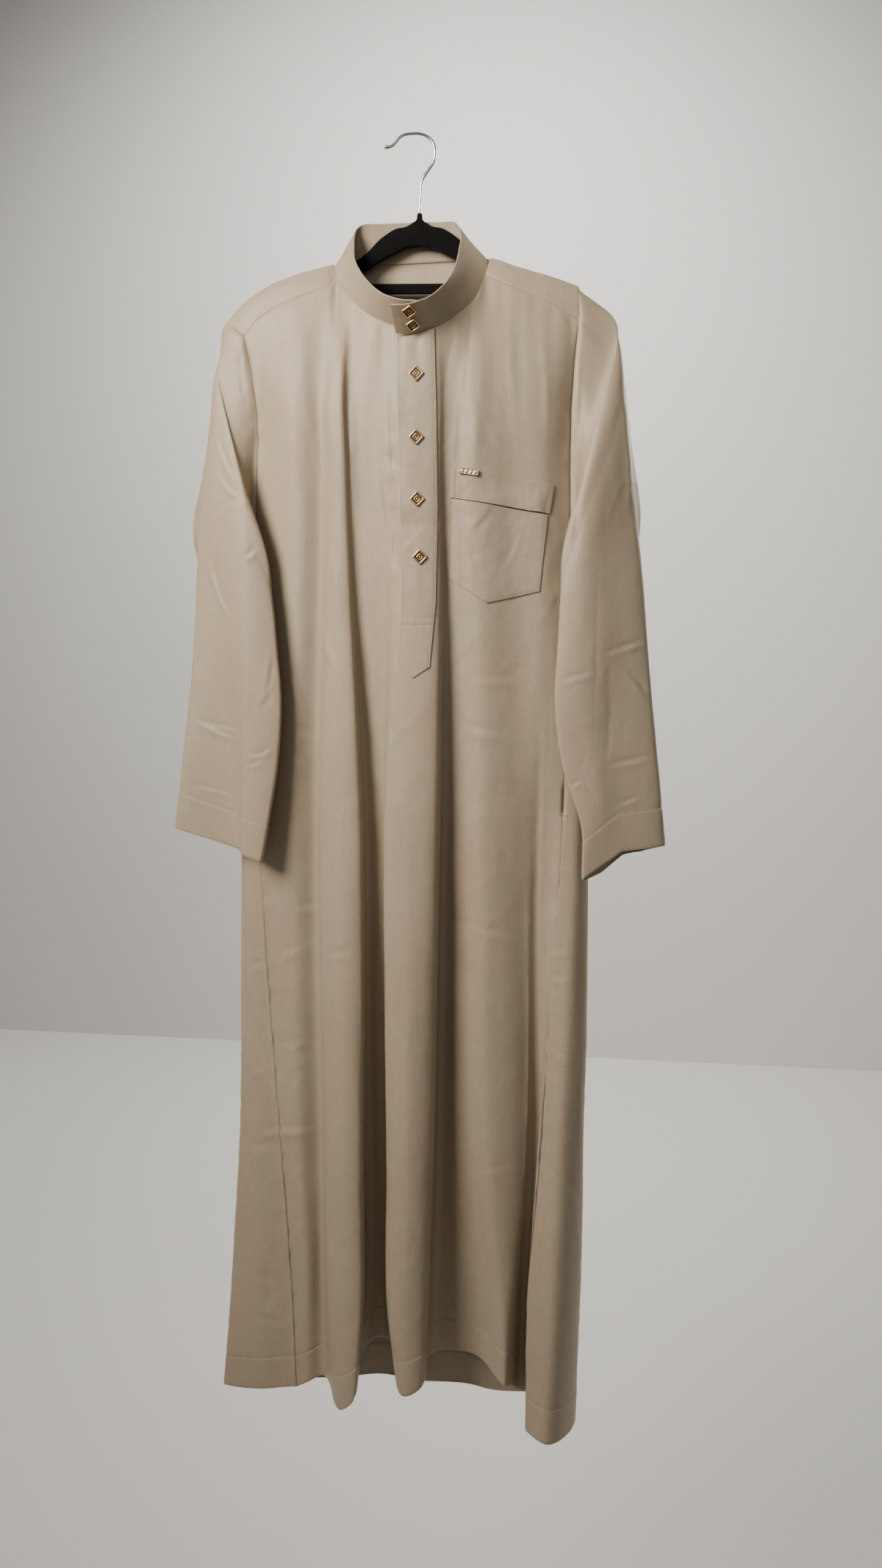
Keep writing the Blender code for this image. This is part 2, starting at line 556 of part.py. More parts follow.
def stud(name, rings, centre, normal, finish, turn=0.0):
    """A small cast piece: outlines stacked along its own axis, then set on a surface."""
    out = Vector(normal).normalized()
    up = Vector((0, 0, 1))
    side = out.cross(up).normalized() * -1
    up = side.cross(out) * -1
    frame = Matrix((side, up, out)).transposed() @ Matrix.Rotation(math.radians(turn), 3, "Z")
    verts, faces = [], []
    for outline, height in rings:
        verts += [np.array(centre) + np.array(frame @ Vector((x, y, height))) for x, y in outline]
    count = len(rings[0][0])
    for k in range(len(rings) - 1):
        for c in range(count):
            a, b = k * count + c, k * count + (c + 1) % count
            faces.append((a, b, b + count, a + count))
    faces.append(tuple(reversed(range(count))))
    faces.append(tuple(range((len(rings) - 1) * count, len(rings) * count)))
    return add_object(name, verts, faces, finish, smooth=False)


def rounded_box(half_x, half_y, radius, turn=0.0, steps=1):
    """Outline of a rectangle with round corners, turned about its middle."""
    outline = []
    for quarter, (sx, sy) in enumerate(((1, 1), (-1, 1), (-1, -1), (1, -1))):
        for k in range(steps + 1):
            angle = math.radians(90 * quarter + 90 * k / steps)
            x = sx * (half_x - radius) + radius * math.cos(angle)
            y = sy * (half_y - radius) + radius * math.sin(angle)
            c, s = math.cos(math.radians(turn)), math.sin(math.radians(turn))
            outline.append((x * c - y * s, x * s + y * c))
    return outline


def button_rings():
    """A square button worn on its corner: raised rim, sunk field and a small square boss."""
    half = BUTTON_HALF / math.sqrt(2) + 1.0

    def square(size):
        return rounded_box(size, size, size * 0.24, turn=45)
    return ((square(half * 0.92), 0.0), (square(half), 0.7), (square(half), 1.9),
            (square(half * 0.9), BUTTON_THICK), (square(half * 0.7), BUTTON_THICK),
            (square(half * 0.6), BUTTON_THICK - 1.1), (square(half * 0.36), BUTTON_THICK - 1.1),
            (square(half * 0.3), BUTTON_THICK - 0.5))


# --- collar -------------------------------------------------------------------------------
COLLAR_ROWS = 5


def collar_stations():
    """From the inner end back round the neck to the tab, with a column at each panel's column."""
    front = [neck_station(f) for f in fold_numbers(FRONT_PARTS) if LEFT_CORNER < f < RIGHT_CORNER]
    front = front[::-1]
    first_turn = [BAND_START] + [s for s in front if s < BAND_START - 0.1]
    over_back = [s - STATIONS for s in YOKE_STATIONS]
    second_turn = [s - STATIONS for s in front if s > TAB_END + 0.1] + [TAB_END - STATIONS]
    return np.array(first_turn + over_back + second_turn)


def collar_grid():
    stations = collar_stations()
    grid = np.array([neck_point(stations % STATIONS, rim=h) for h in np.linspace(1, 0, COLLAR_ROWS)])
    out = -surface_normals(grid)
    travelled = stations + STATIONS
    ease = np.clip((7.2 - travelled) / (7.2 - BAND_START), 0, 1)
    lift = TAB_LIFT * ease * ease * (3 - 2 * ease) * (stations < 0)
    droop = np.clip((5.7 - travelled) / (5.7 - TAB_END), 0, 1) * (stations < 0)
    grid += out * lift[None, :, None] + np.array(TAB_DROOP) * droop[None, :, None]
    return grid, out


def build_collar(finish):
    grid, out = collar_grid()
    cut = grid.copy()
    trim(cut, "bottom", 2 * SEAM_GAP)
    add_wall("collar", cut, cut - out * COLLAR_WALL, finish)
    return Surface(cut, out)


# --- sleeves ------------------------------------------------------------------------------
SLEEVE_ROWS = 17
UNDERARM_LIFT = 1.2   # how far the sleeve's seam runs above the gore's upper edge


def edge(grid, normals, rows, columns):
    """Part of a panel's edge: its points with the wall's directions beside them."""
    return np.concatenate((grid[rows, columns], normals[rows, columns]), axis=-1)


def armhole(yoke_end, front_edge, gore_top, back_edge):
    """The armhole, from the shoulder point down the front, under the arm and up the back."""
    ridge = int(np.argmax(yoke_end[:, 2]))
    middle = len(gore_top) // 2
    down = np.concatenate((yoke_end[:ridge + 1][::-1], front_edge[1:], gore_top[1:middle + 1]))
    up = np.concatenate((gore_top[middle:-1], back_edge[::-1], yoke_end[ridge:][::-1][1:]))
    return down, up


def sleeve_grid(side, hole, table, rows=SLEEVE_ROWS):
    """Sections down the sleeve: the armhole first, then the table's flattened tubes.

    The inner fold starts at the front corner of the underarm; from there the back wall
    passes round the outside of the gore.
    """
    seam = np.concatenate((hole[0][:-1], hole[1][:-1]))
    ring, facing = seam[:, :3], seam[:, 3:]
    by_ring = (ring[0, 2] - ring[:, 2]) / np.ptp(ring[:, 2])
    corner = int(np.argmax(by_ring > 0.998))
    at = np.concatenate((np.linspace(0, 3, corner + 1)[:-1],
                         np.linspace(3, 6, len(ring) - corner + 1)[:-1]))
    away = -1.0 if side == "left" else 1.0
    under = np.clip((ARMPIT + 30 - ring[:, 2]) / 30, 0, 1)[:, None]
    forward = under[:, 0] * np.clip(-facing[:, 1], 0, 1)
    ring = ring + np.array((away * SEAM_GAP * 1.5, 0, 0)) + under * (0, 0, UNDERARM_LIFT)
    facing = facing - under * (0, 0, 1)
    facing /= np.linalg.norm(facing, axis=1, keepdims=True)
    ahead = np.where(at <= 3, -3.0, 0.0) - 6 * forward
    turn = ring + np.column_stack((away * (9 - 5 * forward), ahead, 6 * under[:, 0] - 4))
    shares = [0.0, 0.02]
    sections = [ring, turn]
    for share, z_out, z_in, *outline in table:
        flat = spline(outline, at, closed=True)
        x_out, x_in = outline[0][0], outline[3][0]
        by_width = np.clip((flat[:, 0] - x_out) / (x_in - x_out), 0, 1)
        across = by_ring + (by_width - by_ring) * min(1.0, share / 0.7)
        back = np.clip((at - 3.0) / 1.0, 0, 1) * np.clip(6.0 - at, 0, 1)
        room = np.clip(np.minimum(np.abs(at - 3), np.minimum(at, 6 - at)) / 0.15, 0, 1)
        room *= FOLD_ROOM * min(1.0, share / 0.1)
        flat[:, 1] += np.where(at < 3, -room, room)
        z = z_out + (z_in - z_out) * across - CUFF_DROP[side] * back * share ** 6
        shares.append(share)
        sections.append(np.column_stack((flat, z)))
    knots = np.repeat(np.array(shares)[:, None], len(ring), axis=1)
    steps = np.linspace(0, 1, rows + 1) ** 1.25
    at_rows = [np.full(len(ring), s) for s in steps]
    return through(knots, np.array(sections), at_rows), facing


def build_sleeve(side, hole, table, finish):
    grid, facing = sleeve_grid(side, hole, table)
    out = surface_normals(grid, closed=True)
    if side == "right":
        out = -out
    for _ in range(2):                    # turned evenly round the folded edges, so the inside is clear
        out = out * 2 + np.roll(out, 1, axis=1) + np.roll(out, -1, axis=1)
        out /= np.linalg.norm(out, axis=2, keepdims=True)
    out[0] = facing
    add_wall("sleeve_" + side, grid, grid - out * WALL, finish, round_=True)


# --- hanger -------------------------------------------------------------------------------
def lean(x, z):
    """From the upright hanger to the hanger as it hangs, turned about its neck."""
    angle = math.radians(-HANGER_LEAN)
    dx, dz = x, z - HANGER_NECK
    return (HANGER_MIDDLE + dx * math.cos(angle) - dz * math.sin(angle),
            HANGER_NECK + dx * math.sin(angle) + dz * math.cos(angle))


def build_hanger(finish):
    """Arms and trouser bar in one loop: an outer and an inner outline round the opening."""
    middle, half = HANGER_BAR
    right = [((d, top), (d, low)) for d, top, low in HANGER_ARM]
    right += [((ox, oz), (ix, iz)) for ox, oz, ix, iz in HANGER_TIP]
    right += [((d, middle - half), (d, middle + half)) for d in (140, 70, 0)]
    left = [((-o[0], o[1]), (-i[0], i[1])) for o, i in right[1:-1]][::-1]
    ring = right + left
    half_thick, edge = HANGER_THICK / 2, 1.2
    verts, faces = [], []
    for (ox, oz), (ix, iz) in ring:
        ox, oz = lean(ox, oz)
        ix, iz = lean(ix, iz)
        length = math.hypot(ix - ox, iz - oz)
        dx, dz = (ix - ox) / length * edge, (iz - oz) / length * edge
        for x, y, z in ((ox, edge - half_thick, oz), (ox + dx, -half_thick, oz + dz),
                        (ix - dx, -half_thick, iz - dz), (ix, edge - half_thick, iz),
                        (ix, half_thick - edge, iz), (ix - dx, half_thick, iz - dz),
                        (ox + dx, half_thick, oz + dz), (ox, half_thick - edge, oz)):
            verts.append((x, y, z))
    for r in range(len(ring)):
        for c in range(8):
            a, b = r * 8 + c, r * 8 + (c + 1) % 8
            nxt = ((r + 1) % len(ring)) * 8
            faces.append((a, b, nxt + (c + 1) % 8, nxt + c))
    add_object("hanger_body", verts, faces, finish)


def build_hook(finish):
    """Bent wire with a rounded tip; its crown is what rests on the peg."""
    points = spline([(x, 0, z) for x, z in HOOK_ROUTE], np.linspace(0, len(HOOK_ROUTE) - 1, 34))
    curve = bpy.data.curves.new("hanger_hook", "CURVE")
    curve.dimensions = "3D"
    curve.bevel_depth = HOOK_WIRE * MM
    curve.bevel_resolution = 2
    curve.use_fill_caps = True
    line = curve.splines.new("POLY")
    line.points.add(len(points) - 1)
    for k, place in enumerate(points):
        line.points[k].co = (*(place * MM), 1)
        line.points[k].radius = 1.35 if k > len(points) - 4 else 1.0
    curve.materials.append(finish)
    item = bpy.data.objects.new("hanger_hook", curve)
    bpy.context.scene.collection.objects.link(item)


# --- the whole ----------------------------------------------------------------------------
def main():
    for item in list(bpy.data.objects):
        bpy.data.objects.remove(item)
    cloth = material("suiting", (0.42, 0.35, 0.27), 0.7)
    gold = material("gold_plate", (0.75, 0.56, 0.33), 0.3, 1.0)
    flock = material("black_flock", (0.012, 0.012, 0.013), 0.95)
    chrome = material("chrome_wire", (0.7, 0.7, 0.7), 0.15, 1.0)

    front = front_grid(fold_numbers(FRONT_PARTS))
    yoke = yoke_grid()
    back = back_grid(fold_numbers((2, 2, 2, 2, 2, 2)), yoke)
    at_front, at_back = list(FRONT_FOLDS.values()), list(BACK_FOLDS.values())
    right_table = [at_front[-1][1:]] + list(GORE_RIGHT_FOLDS.values()) + [at_back[0]]
    left_table = [at_back[-1]] + list(GORE_LEFT_FOLDS.values()) + [at_front[0][1:]]
    gore_right = lower_grid(fold_numbers((2, 2, 2, 2, 2)), right_table)
    gore_left = lower_grid(fold_numbers((2, 2, 3, 2)), left_table)

    gore_right[:, 0], gore_right[:, -1] = front[UPPER_ROWS:, -1], back[UPPER_ROWS:, 0]
    gore_left[:, 0], gore_left[:, -1] = back[UPPER_ROWS:, -1], front[UPPER_ROWS:, 0]

    # all panels share the normals of the whole tube, so that their walls meet at the seams
    blank = np.full((UPPER_ROWS, 1, 3), np.nan)
    tube, spans, start = [], {}, 0
    for name, grid in (("front", front), ("gore_right", gore_right), ("back", back),
                       ("gore_left", gore_left)):
        if name.startswith("gore"):
            grid = np.concatenate((np.repeat(blank, grid.shape[1], axis=1), grid))
        spans[name] = (start, start + grid.shape[1])
        start += grid.shape[1] - 1
        tube.append(grid[:, :-1])
    tube = np.concatenate(tube, axis=1)
    normals = surface_normals(tube, closed=True)
    normals = np.concatenate((normals, normals[:, :1]), axis=1)

    def facing(name):
        first, last = spans[name]
        part = normals[:, first:last].copy()
        return part[UPPER_ROWS:] if name.startswith("gore") else part

    above = slice(0, UPPER_ROWS)
    front_out, back_out = facing("front"), facing("back")
    front_out[above] = surface_normals(front)[above]
    back_out[above] = surface_normals(back)[above]
    yoke_out = -surface_normals(yoke)
    beside_neck = len(YOKE_STATIONS) - 1
    for corner, inward in ((NECK_COLUMN, 1), (NECK_COLUMN + beside_neck, -1)):
        for k in range(1, 6):             # turn evenly from the shoulder to the back of the neck
            turned = yoke_out[:, corner] * (6 - k) + yoke_out[:, corner + 6 * inward] * k
            turned /= np.linalg.norm(turned, axis=1, keepdims=True)
            yoke_out[:, corner + k * inward] = turned
    for out, rows in ((front_out, above), (back_out, above), (yoke_out, slice(None))):
        for column in (0, -1):
            out[rows, column, 0] = 0          # the walls' ends lie in the plane of the armhole
            out[rows, column] /= np.linalg.norm(out[rows, column], axis=1, keepdims=True)
    folds = np.array(fold_numbers(FRONT_PARTS))
    left, right = folds < LEFT_CORNER + 0.01, folds > RIGHT_CORNER - 0.01
    for on_front, on_yoke in ((np.flatnonzero(left), range(left.sum())),
                              (np.flatnonzero(right), range(-right.sum(), 0))):
        shared = front_out[0, on_front] + yoke_out[0, list(on_yoke)]
        shared /= np.linalg.norm(shared, axis=1, keepdims=True)
        front_out[0, on_front] = yoke_out[0, list(on_yoke)] = shared
    panel("front", front, front_out, ("left", "right", "top"), cloth)
    panel("back", back, back_out, ("left", "right", "top"), cloth)
    panel("gore_right", gore_right, facing("gore_right"), ("left", "right", "top"), cloth)
    panel("gore_left", gore_left, facing("gore_left"), ("left", "right", "top"), cloth)
    panel("yoke", yoke, yoke_out, ("top", "bottom"), cloth)

    surface = Surface(front, front_out)
    collar = build_collar(cloth)
    placket = build_placket(surface, cloth)
    band = build_pocket(surface, cloth)

    whole, hole_rows = slice(None), slice(0, UPPER_ROWS + 1)
    left_hole = armhole(edge(yoke, yoke_out, whole, 0), edge(front, front_out, hole_rows, 0),
                        edge(gore_left, facing("gore_left"), 0, whole)[::-1],
                        edge(back, back_out, hole_rows, -1))
    right_hole = armhole(edge(yoke, yoke_out, whole, -1), edge(front, front_out, hole_rows, -1),
                         edge(gore_right, facing("gore_right"), 0, whole),
                         edge(back, back_out, hole_rows, 0))
    build_sleeve("left", left_hole, SLEEVE_LEFT, cloth)
    build_sleeve("right", right_hole, SLEEVE_RIGHT, cloth)

    rings = button_rings()
    for number, (x, z) in enumerate(PLACKET_BUTTONS, start=1):
        spot, out = placket.seat(x, z, BUTTON_HALF, BUTTON_HALF)
        stud(f"placket_button_{number}", rings, spot + out * SEAM_GAP, out, gold)
    for number, (x, z) in enumerate(COLLAR_BUTTONS, start=1):
        spot, out = collar.seat(x, z, BUTTON_HALF * 0.6, BUTTON_HALF * 0.6)
        stud(f"collar_button_{number}", rings, spot + out * CURVE_LIFT, out, gold)

    width, depth = PIN["half"]
    thick = PIN["thick"]
    x, z = PIN["centre"]
    spot, out = band.seat(x, z, width, 1.5, -math.tan(math.radians(PIN["tilt"])))
    pin_rings = ((rounded_box(width, depth, 0.8), 0.0), (rounded_box(width, depth, 0.8), thick),
                 (rounded_box(width - 1.2, depth - 1.2, 0.5), thick),
                 (rounded_box(width - 1.6, depth - 1.6, 0.4), thick - 1.0))
    stud("pocket_pin", pin_rings, spot + out * SEAM_GAP, out, gold, turn=-PIN["tilt"])

    build_hanger(flock)
    build_hook(chrome)


main()
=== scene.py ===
# Thobe robe on a flocked hanger. Tables and sizes are in millimetres; meshes are made in metres.
# +X is the viewer's right, +Y the wall behind the robe, +Z up; the hook's crown rests at the origin.
import math

import bmesh
import bpy
import numpy as np
from mathutils import Matrix, Vector
from mathutils.bvhtree import BVHTree


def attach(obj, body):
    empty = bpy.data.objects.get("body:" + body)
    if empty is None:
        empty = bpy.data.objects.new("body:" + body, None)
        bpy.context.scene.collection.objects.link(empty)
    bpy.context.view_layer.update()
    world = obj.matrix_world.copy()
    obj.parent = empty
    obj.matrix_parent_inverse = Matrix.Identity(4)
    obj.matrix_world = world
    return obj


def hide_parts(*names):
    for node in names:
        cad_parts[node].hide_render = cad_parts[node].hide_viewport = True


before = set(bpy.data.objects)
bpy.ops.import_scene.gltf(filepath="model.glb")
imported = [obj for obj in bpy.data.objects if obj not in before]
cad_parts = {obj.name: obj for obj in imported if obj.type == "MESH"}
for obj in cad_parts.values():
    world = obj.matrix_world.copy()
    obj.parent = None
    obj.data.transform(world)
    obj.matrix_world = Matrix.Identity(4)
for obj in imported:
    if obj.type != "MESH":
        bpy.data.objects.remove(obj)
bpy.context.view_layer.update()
mm = 0.001
clothThick = 0.9
castFrom = -400.0            # rays that look for the robe's surface start here, in front of it

# --- camera: at chest height, a little to the right of the robe; metres and degrees
shot = {"place": (0.24207, -1.475, -0.6241), "tiltDown": 6.5, "turn": 8, "lens": 26.69, "sensor": 36}
camera = bpy.data.objects.new("camera", bpy.data.cameras.new("camera"))
bpy.context.scene.collection.objects.link(camera)
camera.location = shot["place"]
camera.rotation_euler = (math.radians(90 - shot["tiltDown"]), 0, math.radians(shot["turn"]))
camera.data.lens, camera.data.sensor_width = shot["lens"], shot["sensor"]
bpy.context.scene.camera = camera

# --- heights at which the folds are measured, and the folds themselves
bust, armpit, waist, knee, shin = -290.0, -470.0, -865.0, -1290.0, -1480.0
levels = (bust, armpit, waist, knee, shin)

# each fold line: x, y at the bust, armpit, waist, knee and shin, then x, y, z at the hem
frontFolds = {
    "seamLeft":      ((-200, -16), (-202, -12), (-204, -12), (-181, -12), (-168, -16), (-163, -18, -1631)),
    "sideRoll":      ((-142, -40), (-141, -36), (-153, -28), (-152, -26), (-144, -26), (-145, -24, -1619)),
    "sideHollow":    ((-106, -38), (-112, -32), (-126, -22), (-127, -16), (-126, -16), (-125, -20, -1611)),
    "ridge1Left":    ((-90, -46), (-97, -44), (-111, -44), (-106, -58), (-100, -70), (-90, -84, -1614)),
    "ridge1Right":   ((-80, -48), (-77, -48), (-61, -54), (-58, -74), (-58, -84), (-65, -92, -1591)),
    "valley1Left":   ((-73, -42), (-70, -38), (-59, -24), (-64, -14), (-68, -12), (-75, -12, -1581)),
    "valley1":       ((-49, -46), (-46, -42), (-46, -24), (-52, -12), (-54, -8), (-54, -8, -1557)),
    "valley1Right":  ((-30, -50), (-28, -47), (-35, -28), (-34, -14), (-34, -12), (-34, -12, -1555)),
    "ridge2Left":    ((-14, -54), (-11, -54), (-27, -60), (-26, -76), (-21, -86), (-5, -94, -1580)),
    "ridge2Right":   ((37, -54), (39, -54), (36, -60), (31, -76), (24, -84), (22, -90, -1570)),
    "valley2":       ((47, -49), (48, -44), (41, -22), (35, -14), (29, -12), (27, -14, -1567)),
    "panelMiddle":   ((62, -47), (64, -44), (66, -28), (68, -26), (78, -22), (82, -18, -1562)),
    "ridge3":        ((80, -48), (86, -46), (96, -40), (106, -44), (123, -52), (127, -62, -1576)),
    "panelEdge":     ((121, -40), (130, -34), (145, -26), (152, -30), (136, -46), (132, -56, -1578)),
    "valley3":       ((160, -36), (165, -32), (162, -18), (157, -10), (146, -8), (141, -8, -1614)),
    "valley3Right":  ((179, -30), (178, -26), (177, -18), (161, -11), (151, -8), (150, -8, -1616)),
    "seamRight":     ((199, -18), (197, -14), (191, -20), (162, -36), (154, -52), (156, -66, -1632)),
}
# gores and back start at the armpit
goreRightFolds = {
    "rollFront":     ((205, -9), (209, -18), (195, -48), (189, -68), (183, -84, -1635)),
    "rollSide":      ((211, -2), (220, -6), (221, -22), (217, -34), (213, -42, -1642)),
    "rollBack":      ((212, 6), (223, 6), (224, 0), (221, -4), (217, -6, -1640)),
    "sideBack":      ((208, 13), (214, 14), (212, 14), (208, 14), (203, 14, -1634)),
}
backFolds = {
    "seamRight":     ((200, 16), (198, 17), (172, 18), (160, 18), (152, 19, -1632)),
    "hollowRight":   ((130, 17), (128, 16), (118, 15), (112, 14), (106, 13, -1630)),
    "rollRight":     ((70, 17), (70, 18), (68, 19), (64, 19), (60, 19, -1628)),
    "hollowMiddle":  ((5, 17), (6, 16), (8, 15), (8, 14), (6, 12, -1626)),
    "rollLeft":      ((-60, 17), (-58, 18), (-55, 19), (-52, 19), (-50, 19, -1625)),
    "hollowLeft":    ((-130, 17), (-128, 16), (-118, 15), (-114, 14), (-110, 13, -1631)),
    "seamLeft":      ((-202, 16), (-200, 17), (-185, 18), (-176, 18), (-168, 19, -1641)),
}
goreLeftFolds = {
    "sideBack":      ((-210, 12), (-222, 15), (-228, 16), (-236, 17), (-244, 18, -1652)),
    "sideEdge":      ((-216, 3), (-234, 8), (-248, 8), (-262, 8), (-277, 8, -1655)),
    "sideFront":     ((-209, -8), (-218, -5), (-218, -7), (-218, -11), (-216, -16, -1641)),
}

# stations round the neck: the seam, with the collar's rim above it
neck = {
    "leftCorner":    ((-94, -13, -161), (-70, -21, -129)),
    "leftSide":      ((-79, -22, -185), (-66, -38, -153)),
    "leftFront":     ((-63, -34, -205), (-56, -53, -173)),
    "leftFall":      ((-42, -44, -222), (-41, -66, -192)),
    "frontLeft":     ((-20, -48.5, -233), (-21, -77, -208)),
    "front":         ((6, -52, -241), (5, -84, -217)),
    "frontRight":    ((34, -50, -237), (29, -83, -214)),
    "rightFall":     ((60, -41, -222), (48, -66, -195)),
    "rightFront":    ((79, -28, -202), (58, -47, -170)),
    "rightCorner":   ((91, -13, -169), (61, -24, -139)),
    "rightSide":     ((91.5, -5.5, -150), (61, -14, -126)),
    "rightTop":      ((88, 2, -146), (58, -4, -112)),
    "backRight":     ((78, 9.5, -145), (52, 4, -102)),
    "backMidRight":  ((45, 14, -144), (30, 7, -100)),
    "back":          ((6, 15, -144), (-5, 7.5, -99)),
    "backMidLeft":   ((-45, 14, -144), (-42, 6, -99)),
    "backLeft":      ((-82, 9.5, -144.5), (-63, 2, -100)),
    "leftTop":       ((-93, 2.5, -145.3), (-69, -3, -105)),
    "leftShoulder":  ((-95.5, -5, -148), (-71, -12, -116)),
}
stations, frontStations = len(neck), 9
rightTop, leftTop = 11, 17                     # stations on the shoulders' ridges
leftCorner, rightCorner = 3.0, 12 + 1 / 3      # fold numbers of the front's corners at the neck
neckOnFolds = (leftCorner, 4, 5.3, 6, 7.3, 8.4, 9, 11, 11.7, rightCorner)

# shoulder seams: fold line, x, y, z
shoulderLeft = ((0, -212, -14, -231), (0.3, -195, -16, -212), (0.6, -168, -18, -197),
                (1, -140, -20, -188.5), (2, -108, -20.5, -179), (2.4, -101, -20, -177),
                (leftCorner, -94, -13, -161))
shoulderRight = ((rightCorner, 91, -13, -169), (12 + 2 / 3, 105, -16, -177), (13, 122, -18, -185),
                 (13.5, 145, -18, -195), (14, 165, -18, -203), (15, 185, -16.5, -214),
                 (16, 204, -14, -227))
# yoke: front fold line, x and z of the ridge, x and z of the back seam
yokeLeft = ((0, -240, -213, -213, -252), (0.3, -214, -185.5, -190, -240),
            (0.6, -178, -165.5, -160, -232), (1, -145, -156.5, -132, -228),
            (2, -114, -149.5, -104, -226), (2.4, -108, -148, -97, -225.5),
            (leftCorner, -101.5, -146.6, -91, -225))
yokeRight = ((rightCorner, 97.5, -147.8, 90, -225), (12 + 2 / 3, 109, -151.5, 100, -226),
             (13, 123, -157.5, 115, -227), (13.5, 145, -164.5, 138, -229),
             (14, 164, -170, 158, -232), (15, 183, -177, 180, -238), (16, 203, -185, 203, -250))
yokeBack = 17.0
# where the yoke's sections run between its ridge and its back seam: share of the way, depth and drop
overRidge = {"rise": 0.4, "under": 5.5, "aft": 0.07, "aftDepth": 8.0, "aftDrop": 5.0,
             "low": 0.35, "lowDepth": 14.5}

# sleeves: how far down, height of the outer and inner edge, then six points round the flat tube
sleeveLeft = (
    (0.05, -247, -476, (-245, -6), (-232, -19), (-212, -28), (-200, -27), (-226, -4), (-240, 8)),
    (0.10, -277, -500, (-253, -8), (-232, -26), (-206, -41), (-182, -40), (-221, -14), (-246, 6)),
    (0.20, -341, -554, (-261, -10), (-236, -32), (-202, -50), (-172, -47), (-206, -28), (-256, 7)),
    (0.35, -438, -617, (-277, -10), (-242, -35), (-202, -54), (-165, -51), (-196, -37), (-292, 6)),
    (0.50, -534, -680, (-282, -12), (-240, -36), (-201, -56), (-160, -54), (-196, -40), (-268, 2)),
    (0.70, -662, -764, (-292, -14), (-234, -34), (-202, -58), (-165, -57), (-198, -40), (-262, 0)),
    (0.85, -759, -827, (-304, -18), (-229, -34), (-208, -58), (-175, -60), (-206, -38), (-262, 0)),
    (1.00, -855, -890, (-316, -20), (-226, -34), (-214, -56), (-187, -61), (-209, -36), (-268, 0)),
)
sleeveRight = (
    (0.05, -219, -476, (241, -4), (226, -18), (210, -28), (200, -27), (223, -3), (236, 8)),
    (0.10, -253, -500, (253, -8), (236, -26), (212, -41), (190, -40), (221, -14), (247, 7)),
    (0.20, -321, -556, (262, -10), (242, -32), (212, -50), (187, -47), (213, -28), (264, 8)),
    (0.35, -423, -621, (272, -12), (246, -36), (214, -54), (184, -51), (210, -37), (282, 6)),
    (0.50, -525, -686, (285, -14), (248, -41), (214, -55), (182, -54), (210, -40), (272, 2)),
    (0.70, -660, -772, (298, -18), (250, -42), (222, -55), (195, -57), (222, -42), (278, 0)),
    (0.85, -762, -837, (309, -20), (258, -45), (238, -56), (216, -60), (238, -38), (280, 2)),
    (1.00, -864, -902, (319, -20), (266, -46), (243, -55), (218, -62), (240, -38), (290, 4)),
)
sleeve = {
    "foldRoom": 1.8,                  # how far each layer stands off the flat tube's middle
    "underarmLift": 1.2, "seamGap": 0.3,
    "headOut": 5.5, "headDown": 3.5,  # where the cloth is just past the seam, at the shoulder
    "byWidthFrom": 0.7,               # share of the way down from which heights go by the width
    "cuffDrop": {"left": 0.0, "right": 10.0},          # how much lower the cuff hangs behind
    "cuffMiddle": {"left": 0.52, "right": 0.12},       # how far the cuff has fallen by its middle
}


# --- curves and surfaces
def cubic(low, lowSlope, high, highSlope, part):
    t2, t3 = part ** 2, part ** 3
    return (low * (2 * t3 - 3 * t2 + 1) + lowSlope * (t3 - 2 * t2 + part)
            + high * (3 * t2 - 2 * t3) + highSlope * (t3 - t2))


def spline(points, samples, closed=False):
    # centripetal Catmull-Rom curve through the points, read at fractional point numbers
    points = np.asarray(points, float)
    samples = np.atleast_1d(np.asarray(samples, float))
    count = len(points)
    start = np.floor(samples).astype(int)
    if closed:
        p0, p1, p2, p3 = (points[(start + k) % count] for k in (-1, 0, 1, 2))
    else:
        start = np.clip(start, 0, count - 2)
        longer = np.concatenate((2 * points[:1] - points[1:2], points, 2 * points[-1:] - points[-2:-1]))
        p0, p1, p2, p3 = (longer[start + k] for k in range(4))
    part = (samples - start)[:, None]

    def reach(a, b):
        return np.sqrt(np.maximum(np.linalg.norm(b - a, axis=1, keepdims=True), 1e-6))
    k0, k1, k2 = reach(p0, p1), reach(p1, p2), reach(p2, p3)
    slope1 = k1 * ((p1 - p0) / k0 - (p2 - p0) / (k0 + k1)) + (p2 - p1)
    slope2 = k1 * ((p3 - p2) / k2 - (p3 - p1) / (k1 + k2)) + (p2 - p1)
    return cubic(p1, slope1, p2, slope2, part)


def through(knots, values, at):
    # cubic through values[k] at knots[k], read at each entry of at; all per column
    steps = np.diff(knots, axis=0)[..., None]
    rises = np.diff(values, axis=0) / steps
    inner = (rises[:-1] * steps[1:] + rises[1:] * steps[:-1]) / (steps[:-1] + steps[1:])
    slopes = np.concatenate((rises[:1], inner, rises[-1:]))
    columns = np.arange(knots.shape[1])
    rows = []
    for level in at:
        passed = (np.sign(steps[0, 0, 0]) * (level[None] - knots) >= 0).sum(axis=0) - 1
        k = np.clip(passed, 0, len(knots) - 2)
        width = (knots[k + 1, columns] - knots[k, columns])[:, None]
        part = (level[:, None] - knots[k, columns][:, None]) / width
        rows.append(cubic(values[k, columns], slopes[k, columns] * width,
                          values[k + 1, columns], slopes[k + 1, columns] * width, part))
    return np.array(rows)


def travel(grid, axis):
    # distance run along the rows or columns of a grid
    steps = np.linalg.norm(np.diff(grid, axis=axis), axis=2)
    steps = np.insert(steps, 0, 0, axis=axis)
    return np.cumsum(steps, axis=axis)


